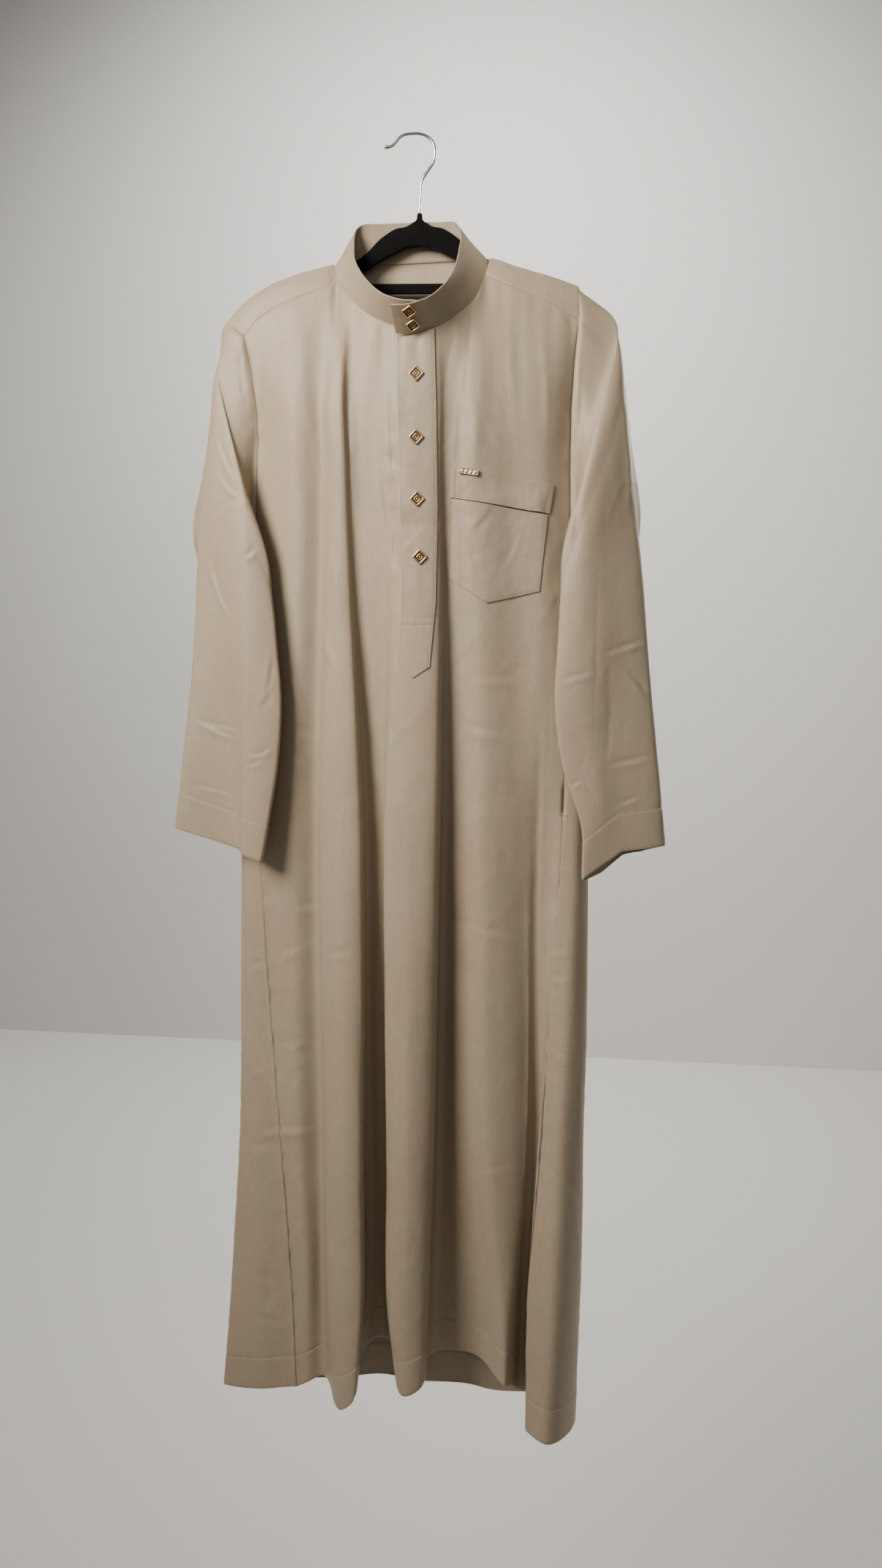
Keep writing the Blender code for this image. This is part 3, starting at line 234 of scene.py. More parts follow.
def resample(points, count):
    # points at even distances along a line
    points = np.asarray(points, float)
    run = np.concatenate(([0], np.cumsum(np.linalg.norm(np.diff(points, axis=0), axis=1))))
    at = np.linspace(0, run[-1], count)
    return np.stack([np.interp(at, run, points[:, k]) for k in range(points.shape[1])], axis=1)


def surfaceNormals(grid, closed=False):
    # directions out of a grid, from each point's neighbours; a missing neighbour counts as the point itself
    def shifted(step, axis):
        moved = np.roll(grid, step, axis=axis)
        if axis == 0 or not closed:
            edge = 0 if step > 0 else -1
            if axis == 0:
                moved[edge] = grid[edge]
            else:
                moved[:, edge] = grid[:, edge]
        return np.where(np.isnan(moved), grid, moved)
    across = shifted(-1, 1) - shifted(1, 1)
    down = shifted(-1, 0) - shifted(1, 0)
    normal = np.cross(across, down)
    return -normal / np.maximum(np.linalg.norm(normal, axis=2, keepdims=True), 1e-9)


def neckPoint(at, rim=0.0):
    # a point at a station round the neck, from the seam (rim 0) up to the collar's rim (1)
    seam, edge = zip(*neck.values())
    low = spline(seam, at, closed=True)
    return low + (spline(edge, at, closed=True) - low) * rim


def neckStation(fold):
    return np.interp(fold, neckOnFolds, range(frontStations + 1))


def frontTop(folds):
    # the front's upper edge: neck in the middle, shoulder seams at the sides
    folds = np.asarray(folds, float)
    top = neckPoint(neckStation(folds))
    for seam, inside in ((shoulderLeft, folds <= leftCorner), (shoulderRight, folds >= rightCorner)):
        rows = np.array(seam, float)
        for k in range(3):
            top[inside, k] = np.interp(folds[inside], rows[:, 0], rows[:, k + 1])
    return top


def foldCurves(folds, table, heights):
    # a level curve across the folds at each height, and the hem's own
    curves = [spline([(*row[number], level) for row in table], folds)
              for number, level in enumerate(heights)]
    curves.append(spline([row[-1] for row in table], folds))
    return np.array(curves)


def hangColumns(curves, upper, lower):
    # rows from the top edge to the armpit, then on to the hem, so that the panels' rows meet
    knots = curves[:, :, 2]
    atArmpit = [k for k in range(len(curves)) if curves[k, 0, 2] == armpit][0]
    down = [knots[0] + s * (knots[atArmpit] - knots[0]) for s in upper]
    down += [knots[atArmpit] + s * (knots[-1] - knots[atArmpit]) for s in lower]
    down = np.array(down)
    return np.concatenate((through(knots, curves[:, :, :2], down), down[:, :, None]), axis=2)


# --- how finely each panel is drawn
grain = {
    "frontParts": (9, 6, 7, 10, 9, 7, 8, 9, 15, 9, 8, 9, 12, 10, 6, 8),   # columns between fold lines
    "goreRightParts": (7, 8, 8, 6, 6),
    "backParts": (17, 14, 15, 15, 16, 17),
    "goreLeftParts": (8, 9, 13, 8),
    "upperRows": 56, "lowerRows": 236, "yokeRows": 44, "neckColumns": 100,
    "sleeveRows": 262, "sleeveColumns": 148,
}
hem = {"depth": 45.0, "cuff": 48.0, "drop": 1161.0, "sleeveLength": 690.0}   # drop: from the armpit down


def foldNumbers(parts):
    # fold numbers for each column, with three more beside each end, where the seams dip
    numbers = [fold + k / count for fold, count in enumerate(parts) for k in range(count)]
    first, last = numbers[1], (len(parts) - numbers[-1])
    inset = (0.1, 0.26, 0.5)
    return np.array([0.0] + [first * k for k in inset] + numbers[1:]
                    + [len(parts) - last * k for k in inset[::-1]] + [float(len(parts))])


# shares of the way down, with rows closer together at the seams, the hem's stitches and its edge
upperShares = np.concatenate(([0.0, 0.004, 0.01], np.linspace(0, 1, grain["upperRows"] + 1)[1:-1]))
stitchShare = 1 - hem["depth"] / hem["drop"]
lowerShares = np.linspace(0, 1, grain["lowerRows"] + 1)
lowerShares = np.sort(np.concatenate((lowerShares, stitchShare + np.array((-2, -1, 0, 1, 2)) / hem["drop"],
                                      [1 - 1 / hem["drop"], 1 - 2.5 / hem["drop"]])))

order = ("front", "goreRight", "back", "goreLeft")
folds = {name: foldNumbers(grain[name + "Parts"]) for name in order}


# --- yoke
def overShoulder(foldsHere, table):
    # six points of each section, from the shoulder seam over the ridge to the back seam
    rows = np.array(table, float)
    aft, low = overRidge["aft"], overRidge["low"]
    for fold, start in zip(foldsHere, frontTop(foldsHere)):
        x, z, backX, backZ = (np.interp(fold, rows[:, 0], rows[:, k]) for k in (1, 2, 3, 4))
        rising = (x + (start[0] - x) * overRidge["rise"], start[1] / 2, z - overRidge["under"])
        yield (start, rising, (x, 0, z),
               (x * (1 - aft) + backX * aft, overRidge["aftDepth"], z - overRidge["aftDrop"]),
               (x * (1 - low) + backX * low, overRidge["lowDepth"], z * (1 - low) + backZ * low),
               (backX, yokeBack, backZ))


def behindNeck(at, first, last):
    # the same six points where the section starts at the back of the neck
    for station in at:
        share = (stations - station) / (stations - frontStations)
        start = neckPoint(station)[0]
        rear = first[-1] + (last[-1] - first[-1]) * share
        top = start + (0, 1.0, -3.0)
        for side, shoulder in ((leftTop, first), (rightTop, last)):
            corner = stations if side == leftTop else frontStations
            near = (station - side) / (corner - side)
            if near > 0:
                own = neckPoint(side)[0] + (math.copysign(1.2, shoulder[2, 0]), 3.5, -2.7)
                top = own + (shoulder[2] - own) * near
        aft = top * (1 - overRidge["aft"]) + rear * overRidge["aft"]
        aft[1:] = max(overRidge["aftDepth"], top[1] + 0.5), top[2] - overRidge["aftDrop"]
        low = top * (1 - overRidge["low"]) + rear * overRidge["low"]
        low[1] = max(overRidge["lowDepth"], (top[1] + rear[1]) / 2)
        yield start, (start + top) / 2, top, aft, low, rear


def yokeGrid():
    onLeft = folds["front"][folds["front"] <= leftCorner + 1e-6]
    onRight = folds["front"][folds["front"] > rightCorner]
    onRight = np.concatenate(([rightCorner], onRight))
    left, right = list(overShoulder(onLeft, yokeLeft)), list(overShoulder(onRight, yokeRight))
    first, last = np.array(left[-1], float), np.array(right[0], float)
    between = np.linspace(stations, frontStations, grain["neckColumns"] + 1)[1:-1]
    columns = left + list(behindNeck(between, first, last)) + right
    even = np.linspace(0, 5, grain["yokeRows"] + 1)[1:-1]
    samples = np.concatenate(([0, 0.02, 0.05], even, [4.95, 4.98, 5]))
    grid = np.array([spline(controls, samples) for controls in columns]).transpose(1, 0, 2)
    return grid, len(left) - 1, len(left) + grain["neckColumns"] - 1


def evenOut(out, corners, reach):
    # the walls turn evenly from the shoulder to the back of the neck
    for corner, inward in corners:
        far = out[:, corner + reach * inward].copy()
        for k in range(1, reach):
            turned = out[:, corner] * (reach - k) + far * k
            out[:, corner + k * inward] = turned / np.linalg.norm(turned, axis=1, keepdims=True)


# --- relief: creases drawn one by one, seams, hems and the soft unevenness of worn cloth
def lineDistance(x, z, path):
    # signed distance from a drawn line, and how far along it each point lies
    best, side, along = np.full(x.shape, 1e9), np.zeros(x.shape), np.zeros(x.shape)
    steps = np.diff(path, axis=0)
    lengths = np.linalg.norm(steps, axis=1)
    run = 0.0
    for start, step, length in zip(path[:-1], steps, lengths):
        dx, dz = x - start[0], z - start[1]
        share = np.clip((dx * step[0] + dz * step[1]) / length ** 2, 0, 1)
        away = np.hypot(dx - share * step[0], dz - share * step[1])
        near = away < best
        best = np.where(near, away, best)
        side = np.where(near, np.sign(step[0] * dz - step[1] * dx), side)
        along = np.where(near, (run + share * length) / lengths.sum(), along)
        run += length
    return best * side, along


def smoothStep(value):
    value = np.clip(value, 0, 1)
    return value * value * (3 - 2 * value)


def dent(away, half):
    # a smooth hollow or hill, 1 at its middle
    return np.exp(-(away / half) ** 2)


# the narrowest half width that each mesh can draw, and how much narrower than its table a crease is
onBody, onSleeve = {"finest": 3.6, "narrowed": 0.8}, {"finest": 2.4, "narrowed": 0.6}
crease = {"peak": 1.1, "sharp": 1.4, "hollowAt": 1.7, "hollowHalf": 1.25, "taper": 0.45,
          "small": 4.5, "smallTall": 0.6, "smallHollow": 0.9, "uneven": 0.45, "unevenBelow": 7, "lump": 17}


def addCreases(height, x, z, weight, table, mesh=onBody):
    # rows: path of x, z points; half width; height; how much the hollow beside it sinks (-1 to 1)
    for path, width, tall, hollow in table:
        width = max(mesh["narrowed"] * width, mesh["finest"])
        line = spline(path, np.linspace(0, len(path) - 1, 5 * len(path)))
        low, high = line.min(axis=0) - 4 * width, line.max(axis=0) + 4 * width
        near = (x > low[0]) & (x < high[0]) & (z > low[1]) & (z < high[1]) & (weight > 0.01)
        if not near.any():
            continue
        away, along = lineDistance(x[near], z[near], line)
        if width < crease["small"]:
            hollow = math.copysign(crease["smallHollow"], hollow) if hollow else hollow
            tall = crease["smallTall"] * tall
        bump = crease["peak"] * np.exp(-np.abs(away / width) ** crease["sharp"])
        beside = math.copysign(crease["hollowAt"] * width, hollow)
        bump -= abs(hollow) * dent(away - beside, crease["hollowHalf"] * width)
        if width < crease["unevenBelow"]:
            spot = np.stack((x[near], 0 * x[near], z[near]), axis=-1)
            bump *= 1 + crease["uneven"] * cloud(spot, (crease["lump"], 1, crease["lump"]), 41)
        ends = smoothStep(np.minimum(along, 1 - along) / crease["taper"])
        height[near] += tall * bump * ends * weight[near]


lattice = np.random.default_rng(58).uniform(-1, 1, (24, 24, 24))


def cloud(points, size, shift=0):
    # smooth noise from -1 to 1 in space; size is a lump's length along x, y and z
    at = points / np.array(size, float) + shift
    low = np.floor(at).astype(int)
    part = at - low
    part = part * part * (3 - 2 * part)
    total = np.zeros(points.shape[:-1])
    for corner in np.ndindex(2, 2, 2):
        weight = np.ones(total.shape)
        for k in range(3):
            weight = weight * (part[..., k] if corner[k] else 1 - part[..., k])
        i, j, k = ((low[..., n] + corner[n]) % 24 for n in range(3))
        total += weight * lattice[i, j, k]
    return total


def unevenness(points, strength=1.0):
    # soft waves, finer puckers and the ridges and valleys that packing leaves
    soft = 1.5 * cloud(points, (62, 44, 210)) + 0.7 * cloud(points, (27, 24, 95), 3)
    fine = 0.26 * cloud(points, (11, 12, 34), 7) + 0.12 * cloud(points, (6, 7, 9), 11)
    tilted = points @ np.array(((0.8, 0, 0.6), (0, 1, 0), (-0.6, 0, 0.8)))
    crumple = np.maximum(1 - 5 * np.abs(cloud(tilted, (46, 40, 62), 17)), 0) ** 1.5
    crumple -= np.maximum(1 - 5 * np.abs(cloud(tilted, (58, 40, 38), 23)), 0) ** 1.5
    return strength * (soft + fine + 0.45 * crumple * (0.5 + cloud(points, (90, 80, 90), 29)))


def seamRelief(away, run, shift, dip=0.7, pucker=0.55, wave=15.0, spread=11.0):
    # a seam dips where it is sewn and puckers beside it
    ripple = cloud(np.stack((run * 0, run * 0, run), axis=-1), (1, 1, wave), shift)
    return -dip * dent(away, 1.3) + pucker * ripple * np.exp(-away / spread)


frontCreases = (
    # chest and the long soft rolls below it
    (((-93, -285), (-95, -335), (-94, -389)), 12, 2.2, 0.5),
    (((-91, -500), (-89, -545), (-84, -600)), 9, 1.6, 0.5),
    (((-66, -560), (-54, -728), (-46, -868), (-44, -980)), 8, -1.6, 0),
    (((43, -330), (48, -511), (53, -682)), 6, -1.8, 0),
    (((82, -305), (84, -360), (82, -424)), 11, 1.8, -0.5),
    (((169, -650), (167, -863), (165, -1099)), 4.5, 1.6, -0.6),
    # across the body
    (((-161, -961), (-136, -960), (-112, -957)), 5, 1.6, 0.5),
    (((-180, -1023), (-158, -1017), (-135, -1007)), 5, 1.7, 0.5),
    (((-108, -1014), (-86, -1012), (-65, -1005)), 5, 1.5, 0.5),
    (((-66, -962), (-48, -970), (-24, -974)), 5, 1.2, 0.6),
    (((-64, -988), (-48, -990), (-28, -984)), 4, 1.0, 0.6),
    (((31, -970), (97, -980), (160, -998)), 5, 1.5, 0.6),
    (((175, -1039), (192, -1042), (209, -1041)), 4, 1.3, 0.5),
    (((-225, -1028), (-208, -1029), (-192, -1027)), 4, 1.2, 0.5),
    (((-225, -1283), (-175, -1268), (-124, -1259)), 6, 1.8, 0.5),
    (((64, -718), (96, -726), (128, -731)), 5, 1.3, 0.5),
    (((83, -659), (112, -661), (143, -661)), 4, 1.0, 0.5),
    # beside the placket, on the chest and at the left armhole
    (((-20, -244), (-19, -330), (-16, -461), (-15, -566), (-20, -640)), 8, -3.2, 0),
    (((-73, -285), (-71, -380), (-70, -475)), 13, 2.4, 0),
    (((-69, -250), (-68, -368), (-66, -501), (-63, -600)), 5, 1.2, 0),
    (((-77, -295), (-76, -403), (-73, -546)), 5, -1.3, 0),
    (((46, -330), (52, -268), (62, -230)), 5, -1.3, 0),
    (((55, -410), (63, -320), (69, -262)), 5, 1.2, 0),
    (((70, -340), (76, -240), (78, -205)), 4.5, -1.1, 0),
    (((85, -392), (90, -287), (86, -206)), 5, 1.2, 0),
    (((102, -378), (105, -287), (100, -214)), 5, -1.2, 0),
    (((122, -210), (126, -290), (132, -380)), 6, 1.0, 0.5),
    (((160, -216), (166, -296), (170, -384)), 6, 1.0, -0.5),
    (((-197, -206), (-198, -248), (-200, -300), (-200, -372)), 5, 2.2, 1.0),
    (((-132, -212), (-124, -330), (-107, -430)), 6, 1.2, 0.6),
    (((-152, -208), (-149, -240), (-146, -300)), 4.5, 1.0, 0.5),
    (((-40, -361), (-33, -441), (-17, -532)), 5, 1.0, 0.5),
    # diagonals on the left of the skirt
    (((-189, -1038), (-172, -1028), (-140, -1010)), 4, 1.6, 0.7),
    (((-187, -1068), (-174, -1080), (-160, -1102)), 4, 1.4, 0.6),
    (((-184, -1151), (-162, -1147), (-136, -1132)), 4, 1.5, 0.6),
    (((-178, -1217), (-159, -1200), (-142, -1174)), 4, 1.4, 0.6),
    (((-175, -1342), (-155, -1320), (-139, -1298)), 4, 1.4, 0.6),
    (((-171, -1426), (-153, -1399), (-137, -1380)), 4, 1.4, 0.6),
    (((-128, -551), (-98, -635), (-64, -716)), 6, 1.2, 0.6),
    (((-166, -635), (-146, -678), (-128, -720)), 5, 1.2, 0.6),
    (((-168, -738), (-139, -731), (-118, -738)), 4, 1.1, 0.6),
    (((-170, -752), (-145, -766), (-125, -783)), 4, 1.1, 0.6),
    (((71, -662), (107, -663), (142, -661)), 4, 1.1, 0.6),
    (((62, -719), (86, -729), (124, -733)), 4, 1.2, 0.6),
    (((36, -1211), (48, -1238), (72, -1239)), 4, 1.2, 0.6),
    (((80, -1302), (111, -1293), (138, -1289)), 4, 1.3, 0.6),
    # the long folds are rounder than a line between their edges
    (((-112, -700), (-111, -865), (-106, -1290), (-100, -1480), (-90, -1614), (-88, -1720)), 14, -3.0, 0),
    (((-92, -700), (-86, -865), (-83, -1290), (-80, -1480), (-78, -1600), (-78, -1720)), 17, 2.6, 0),
    (((-63, -700), (-61, -865), (-58, -1290), (-58, -1480), (-65, -1591), (-68, -1720)), 14, -4.5, 0),
    (((-27, -700), (-27, -865), (-26, -1290), (-21, -1480), (-5, -1580), (0, -1720)), 14, -4.0, 0),
    (((2, -700), (4, -865), (3, -1290), (2, -1480), (8, -1575), (8, -1720)), 17, 2.6, 0),
    (((36, -700), (36, -865), (31, -1290), (24, -1480), (22, -1570), (22, -1720)), 14, -4.0, 0),
    (((94, -700), (94, -865), (102, -1290), (114, -1480), (118, -1580), (118, -1720)), 24, 2.4, 0),
    (((147, -700), (147, -865), (150, -1290), (138, -1480), (133, -1578), (132, -1720)), 26, -6.0, 0),
    # the roll on the right
    (((166, -1017), (190, -1007), (212, -1006)), 4, 1.3, 0.6),
    (((164, -1122), (184, -1136), (216, -1146)), 4, 1.5, 0.7),
    (((180, -1208), (199, -1216), (218, -1226)), 4, 1.3, 0.6),
    (((167, -1278), (192, -1301), (218, -1326)), 4, 1.6, 0.7),
    # the gore on the left
    (((-224, -1046), (-212, -1044), (-197, -1040)), 4, 1.3, 0.6),
    (((-240, -1196), (-222, -1194), (-196, -1183)), 4, 1.3, 0.6),
    (((-242, -1306), (-212, -1300), (-181, -1283)), 4, 1.5, 0.7),
    (((-248, -1470), (-222, -1484), (-178, -1492)), 5, 1.5, 0.7),
    (((-256, -1526), (-220, -1545), (-168, -1549)), 5, 1.5, 0.7),
    # low on the left side
    (((-186, -1402), (-176, -1435), (-174, -1468)), 9, 2.4, -0.5),
    (((-202, -1445), (-204, -1500), (-202, -1556)), 8, -2.0, 0),
)
backCreases = (
    (((-120, -300), (-126, -380), (-120, -470)), 13, 2.4, 0.5),
    (((-70, -290), (-74, -360), (-66, -430)), 10, 1.8, -0.5),
    (((10, -280), (4, -380), (14, -520)), 14, 2.2, 0.5),
    (((88, -300), (96, -390), (90, -500)), 12, 2.0, -0.5),
    (((150, -320), (152, -420), (146, -560)), 9, 1.6, 0.5),
    (((-165, -640), (-120, -655), (-70, -648)), 7, 1.8, 0.6),
    (((-40, -700), (20, -716), (90, -706)), 7, 1.6, 0.6),
    (((60, -760), (120, -752), (178, -736)), 6, 1.7, 0.5),
    (((-185, -820), (-150, -832), (-105, -826)), 5, 1.5, 0.5),
    (((-90, -900), (-30, -915), (30, -905)), 6, 1.7, 0.6),
    (((40, -960), (100, -972), (160, -962)), 5, 1.5, 0.6),
    (((-200, -1010), (-160, -1022), (-120, -1016)), 5, 1.6, 0.5),
    (((-110, -1100), (-60, -1112), (-5, -1104)), 6, 1.5, 0.5),
    (((90, -1130), (140, -1140), (190, -1128)), 5, 1.4, 0.5),
    (((-60, -880), (-66, -1020), (-58, -1180)), 12, 2.4, 0.5),
    (((66, -860), (72, -1020), (64, -1240)), 13, 2.6, -0.5),
    (((-150, -1120), (-156, -1260), (-146, -1420)), 11, 2.0, 0.5),
    (((130, -1180), (126, -1330), (132, -1480)), 10, 1.8, -0.5),
    (((0, -1240), (6, -1380), (-2, -1540)), 12, 2.0, 0.5),
)


def drape(grid, out):
    # height of the relief on a body panel; dressPanel fades it out at the neck and shoulder seams
    x, z = grid[..., 0], grid[..., 2]
    towardsFront = np.clip((0.4 - out[..., 1]) / 0.5, 0, 1)
    height = unevenness(grid)
    addCreases(height, x, z, towardsFront, frontCreases)
    addCreases(height, x, z, 1 - towardsFront, backCreases)
    return height


# --- meshes
def clothMesh(name, outer, out, thick, closed=False):
    # a cloth wall: its outer grid, the same grid a thickness in, and rims that close it
    rows, columns = outer.shape[:2]
    inner = outer - out * np.broadcast_to(thick, outer.shape[:2])[..., None]
    across = np.concatenate((outer, outer[:, :1]), axis=1) if closed else outer
    uv = np.stack((travel(across, 1) - travel(across, 1).max(axis=1, keepdims=True) / 2,
                   -travel(across, 0)), axis=-1)
    lines, wide = across.shape[1], across.shape[1] - 1
    r, c = (k.ravel()[:, None] for k in np.mgrid[0:rows - 1, 0:wide])
    faceRows, faceColumns = r + (0, 1, 1, 0), c + (0, 0, 1, 1)
    number = faceRows * columns + faceColumns % columns
    place = faceRows * lines + faceColumns
    back = rows * columns
    faces, spots = [number, number[:, ::-1] + back], [place, place[:, ::-1]]

    def rim(a, b, placeA, placeB):
        faces.append(np.stack((a, a + back, b + back, b), axis=1))
        spots.append(np.stack((placeA, placeA, placeB, placeB), axis=1))
    c = np.arange(wide)
    for row in (0, rows - 1):
        rim(row * columns + c, row * columns + (c + 1) % columns, row * lines + c, row * lines + c + 1)
    if not closed:
        r = np.arange(rows - 1)
        for column in (0, columns - 1):
            rim(r * columns + column, (r + 1) * columns + column,
                r * lines + column, (r + 1) * lines + column)
    faces, spots = np.concatenate(faces), np.concatenate(spots)
    verts = np.concatenate((outer.reshape(-1, 3), inner.reshape(-1, 3))) * mm
    return meshFrom(name, verts, faces, uv.reshape(-1, 2)[spots.ravel()] * mm)


def meshFrom(name, verts, faces, uv=None):
    mesh = bpy.data.meshes.new(name)
    mesh.vertices.add(len(verts))
    mesh.vertices.foreach_set("co", np.asarray(verts, np.float32).ravel())
    sizes = np.array([len(face) for face in faces])
    mesh.loops.add(int(sizes.sum()))
    mesh.loops.foreach_set("vertex_index", np.concatenate([np.asarray(face) for face in faces]))
    mesh.polygons.add(len(sizes))
    mesh.polygons.foreach_set("loop_start", np.concatenate(([0], np.cumsum(sizes)[:-1])))
    mesh.polygons.foreach_set("loop_total", sizes)
    mesh.update(calc_edges=True)
    if uv is not None:
        mesh.uv_layers.new(name="cloth").data.foreach_set("uv", np.asarray(uv, np.float32).ravel())
    made = bmesh.new()
    made.from_mesh(mesh)
    bmesh.ops.recalc_face_normals(made, faces=made.faces)
    made.to_mesh(mesh)
    made.free()
    mesh.shade_smooth()
    mesh.set_sharp_from_angle(angle=math.radians(50))
    return mesh


pieces = {}


def addPiece(name, mesh, finishes, node):
    piece = pieces[name] = bpy.data.objects.new(name, mesh)
    bpy.context.scene.collection.objects.link(piece)
    for finish in finishes:
        mesh.materials.append(finish)
    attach(piece, "root")
    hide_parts(node)
    print("made", name, len(mesh.polygons), "faces")


# --- finishes
def linear(code):
    # sRGB hex to the linear colour that shaders take
    parts = [int(code[k:k + 2], 16) / 255 for k in (1, 3, 5)]
    return (*[p / 12.92 if p <= 0.04045 else ((p + 0.055) / 1.055) ** 2.4 for p in parts], 1.0)


def addNode(tree, kind, settings=None, links=None):
    # settings are the node's own values or its sockets'; links run from other nodes' sockets to its own
    node = tree.nodes.new(kind)
    for key, value in (settings or {}).items():
        if isinstance(key, str) and hasattr(node, key):
            setattr(node, key, value)
        else:
            node.inputs[key].default_value = value
    for key, source in (links or {}).items():
        tree.links.new(source, node.inputs[key])
    return node


def newFinish(name, settings):
    finish = bpy.data.materials.new(name)
    finish.use_nodes = True
    tree = finish.node_tree
    shader = tree.nodes["Principled BSDF"]
    for key, value in settings.items():
        shader.inputs[key].default_value = value
    return finish, tree, shader


def wovenSuiting():
    # polyester-viscose suiting, plain woven from slubby yarn and pressed: a matt taupe with a
    # faint satin bloom where it turns away, streaked along and across by thicker yarns.
    # The real yarns lie 0.42 mm apart, too fine to show, so their crossings are drawn wider apart
    cloth = {"drawn": 1.1, "slub": (1.0, 30.0), "weftSlub": (22.0, 1.0),       # mm across and along
             "shift": (60.0, 150.0), "mottle": 111.1,
             "deep": "#8b7d6a", "middle": "#9b8d78", "pale": "#ab9d88", "warm": "#fff9f6", "cool": "#fafdfa"}
    finish, tree, shader = newFinish("wovenSuiting", {
        "Roughness": 0.5, "IOR": 1.46, "Sheen Weight": 0.12, "Sheen Roughness": 0.35,
        "Sheen Tint": linear("#e9dcc8")})
    place = addNode(tree, "ShaderNodeUVMap", {"uv_map": "cloth"}).outputs["UV"]
    streaks = []
    for pattern, rough in (("slub", 0.6), ("weftSlub", 0.6), ("shift", 0.5)):
        wide, long = cloth[pattern]
        sized = addNode(tree, "ShaderNodeMapping", {"Scale": (1000 / wide, 1000 / long, 1)},
                        {"Vector": place})
        noise = addNode(tree, "ShaderNodeTexNoise", {"Scale": 1.0, "Detail": 2.0, "Roughness": rough},
                        {"Vector": sized.outputs["Vector"]})
        streaks.append(noise.outputs["Fac"])
    warpYarn, weftYarn, shift = streaks
    yarns = addNode(tree, "ShaderNodeMath", {"operation": "ADD"}, {0: warpYarn, 1: weftYarn})
    turns = 2 * math.pi * 1000 / (2 * cloth["drawn"])
    split = addNode(tree, "ShaderNodeSeparateXYZ", {}, {"Vector": place})
    waves = []
    for axis in ("X", "Y"):
        turned = addNode(tree, "ShaderNodeMath", {"operation": "MULTIPLY", 1: turns},
                         {0: split.outputs[axis]})
        wave = addNode(tree, "ShaderNodeMath", {"operation": "SINE"}, {0: turned.outputs[0]})
        waves.append(wave.outputs[0])
    crossing = addNode(tree, "ShaderNodeMath", {"operation": "MULTIPLY"}, {0: waves[0], 1: waves[1]})
    inSpace = addNode(tree, "ShaderNodeTexCoord").outputs["Object"]
    mottle = addNode(tree, "ShaderNodeTexNoise", {"Scale": 1000 / cloth["mottle"], "Detail": 3.0},
                     {"Vector": inSpace})
    faint = addNode(tree, "ShaderNodeMath", {"operation": "MULTIPLY", 1: 0.2}, {0: mottle.outputs["Fac"]})
    mixed = addNode(tree, "ShaderNodeMath", {"operation": "MULTIPLY_ADD", 1: 0.5},
                    {0: yarns.outputs[0], 2: faint.outputs[0]})
    ramp = addNode(tree, "ShaderNodeValToRGB", {}, {"Fac": mixed.outputs[0]})
    first, last = ramp.color_ramp.elements
    first.position, first.color = 0.3, linear(cloth["deep"])
    last.position, last.color = 0.92, linear(cloth["pale"])
    ramp.color_ramp.elements.new(0.6).color = linear(cloth["middle"])
    tint = addNode(tree, "ShaderNodeValToRGB", {}, {"Fac": shift})
    first, last = tint.color_ramp.elements
    first.position, first.color = 0.38, linear(cloth["warm"])
    last.position, last.color = 0.62, linear(cloth["cool"])
    shaded = addNode(tree, "ShaderNodeVectorMath", {"operation": "MULTIPLY"},
                     {0: ramp.outputs["Color"], 1: tint.outputs["Color"]})
    tree.links.new(shaded.outputs["Vector"], shader.inputs["Base Color"])
    relief = addNode(tree, "ShaderNodeMath", {"operation": "MULTIPLY_ADD", 1: 0.22},
                     {0: crossing.outputs[0], 2: yarns.outputs[0]})
    bump = addNode(tree, "ShaderNodeBump", {"Strength": 0.22, "Distance": 0.0004},
                   {"Height": relief.outputs[0]})
    tree.links.new(bump.outputs["Normal"], shader.inputs["Normal"])
    return finish


def goldPlate():
    # brass alloy, die cast, polished and flash plated with gold; softened by handling marks, which
    # are finer than 0.1 mm and drawn about 1 mm across
    gold = {"colour": "#d9b98c", "marks": 1.111}
    finish, tree, shader = newFinish("goldPlatedBrass", {
        "Base Color": linear(gold["colour"]), "Metallic": 1.0})
    marks = addNode(tree, "ShaderNodeTexNoise", {"Scale": 1000 / gold["marks"], "Detail": 3.0},
                    {"Vector": addNode(tree, "ShaderNodeTexCoord").outputs["Object"]})
    worn = addNode(tree, "ShaderNodeMapRange", {"To Min": 0.2, "To Max": 0.38},
                   {"Value": marks.outputs["Fac"]})
    tree.links.new(worn.outputs["Result"], shader.inputs["Roughness"])
    bump = addNode(tree, "ShaderNodeBump", {"Strength": 0.08, "Distance": 0.0003},
                   {"Height": marks.outputs["Fac"]})
    tree.links.new(bump.outputs["Normal"], shader.inputs["Normal"])
    return finish


def paintedRecessShade():
    # painted shade: the floors of the castings are darkened brown, standing for the shade that falls in the
    # recesses
    return newFinish("recessPaintedShade", {"Base Color": linear("#4d3a22"), "Metallic": 0.8, "Roughness": 0.5})[0]


def beadPearl():
    # moulded plastic core dipped in pearl lacquer: pale, soft highlight under a clear coat
    bead = {"shade": "#d8d2ca", "light": "#f4f1ea", "lustre": 2.5}
    finish, tree, shader = newFinish("pearlLacquer", {
        "Roughness": 0.3, "IOR": 1.5, "Coat Weight": 0.6, "Coat Roughness": 0.08})
    lustre = addNode(tree, "ShaderNodeTexNoise", {"Scale": 1000 / bead["lustre"], "Detail": 2.0},
                     {"Vector": addNode(tree, "ShaderNodeTexCoord").outputs["Object"]})
    ramp = addNode(tree, "ShaderNodeValToRGB", {}, {"Fac": lustre.outputs["Fac"]})
    first, last = ramp.color_ramp.elements
    first.position, first.color = 0.35, linear(bead["shade"])
    last.position, last.color = 0.65, linear(bead["light"])
    tree.links.new(ramp.outputs["Color"], shader.inputs["Base Color"])
    return finish


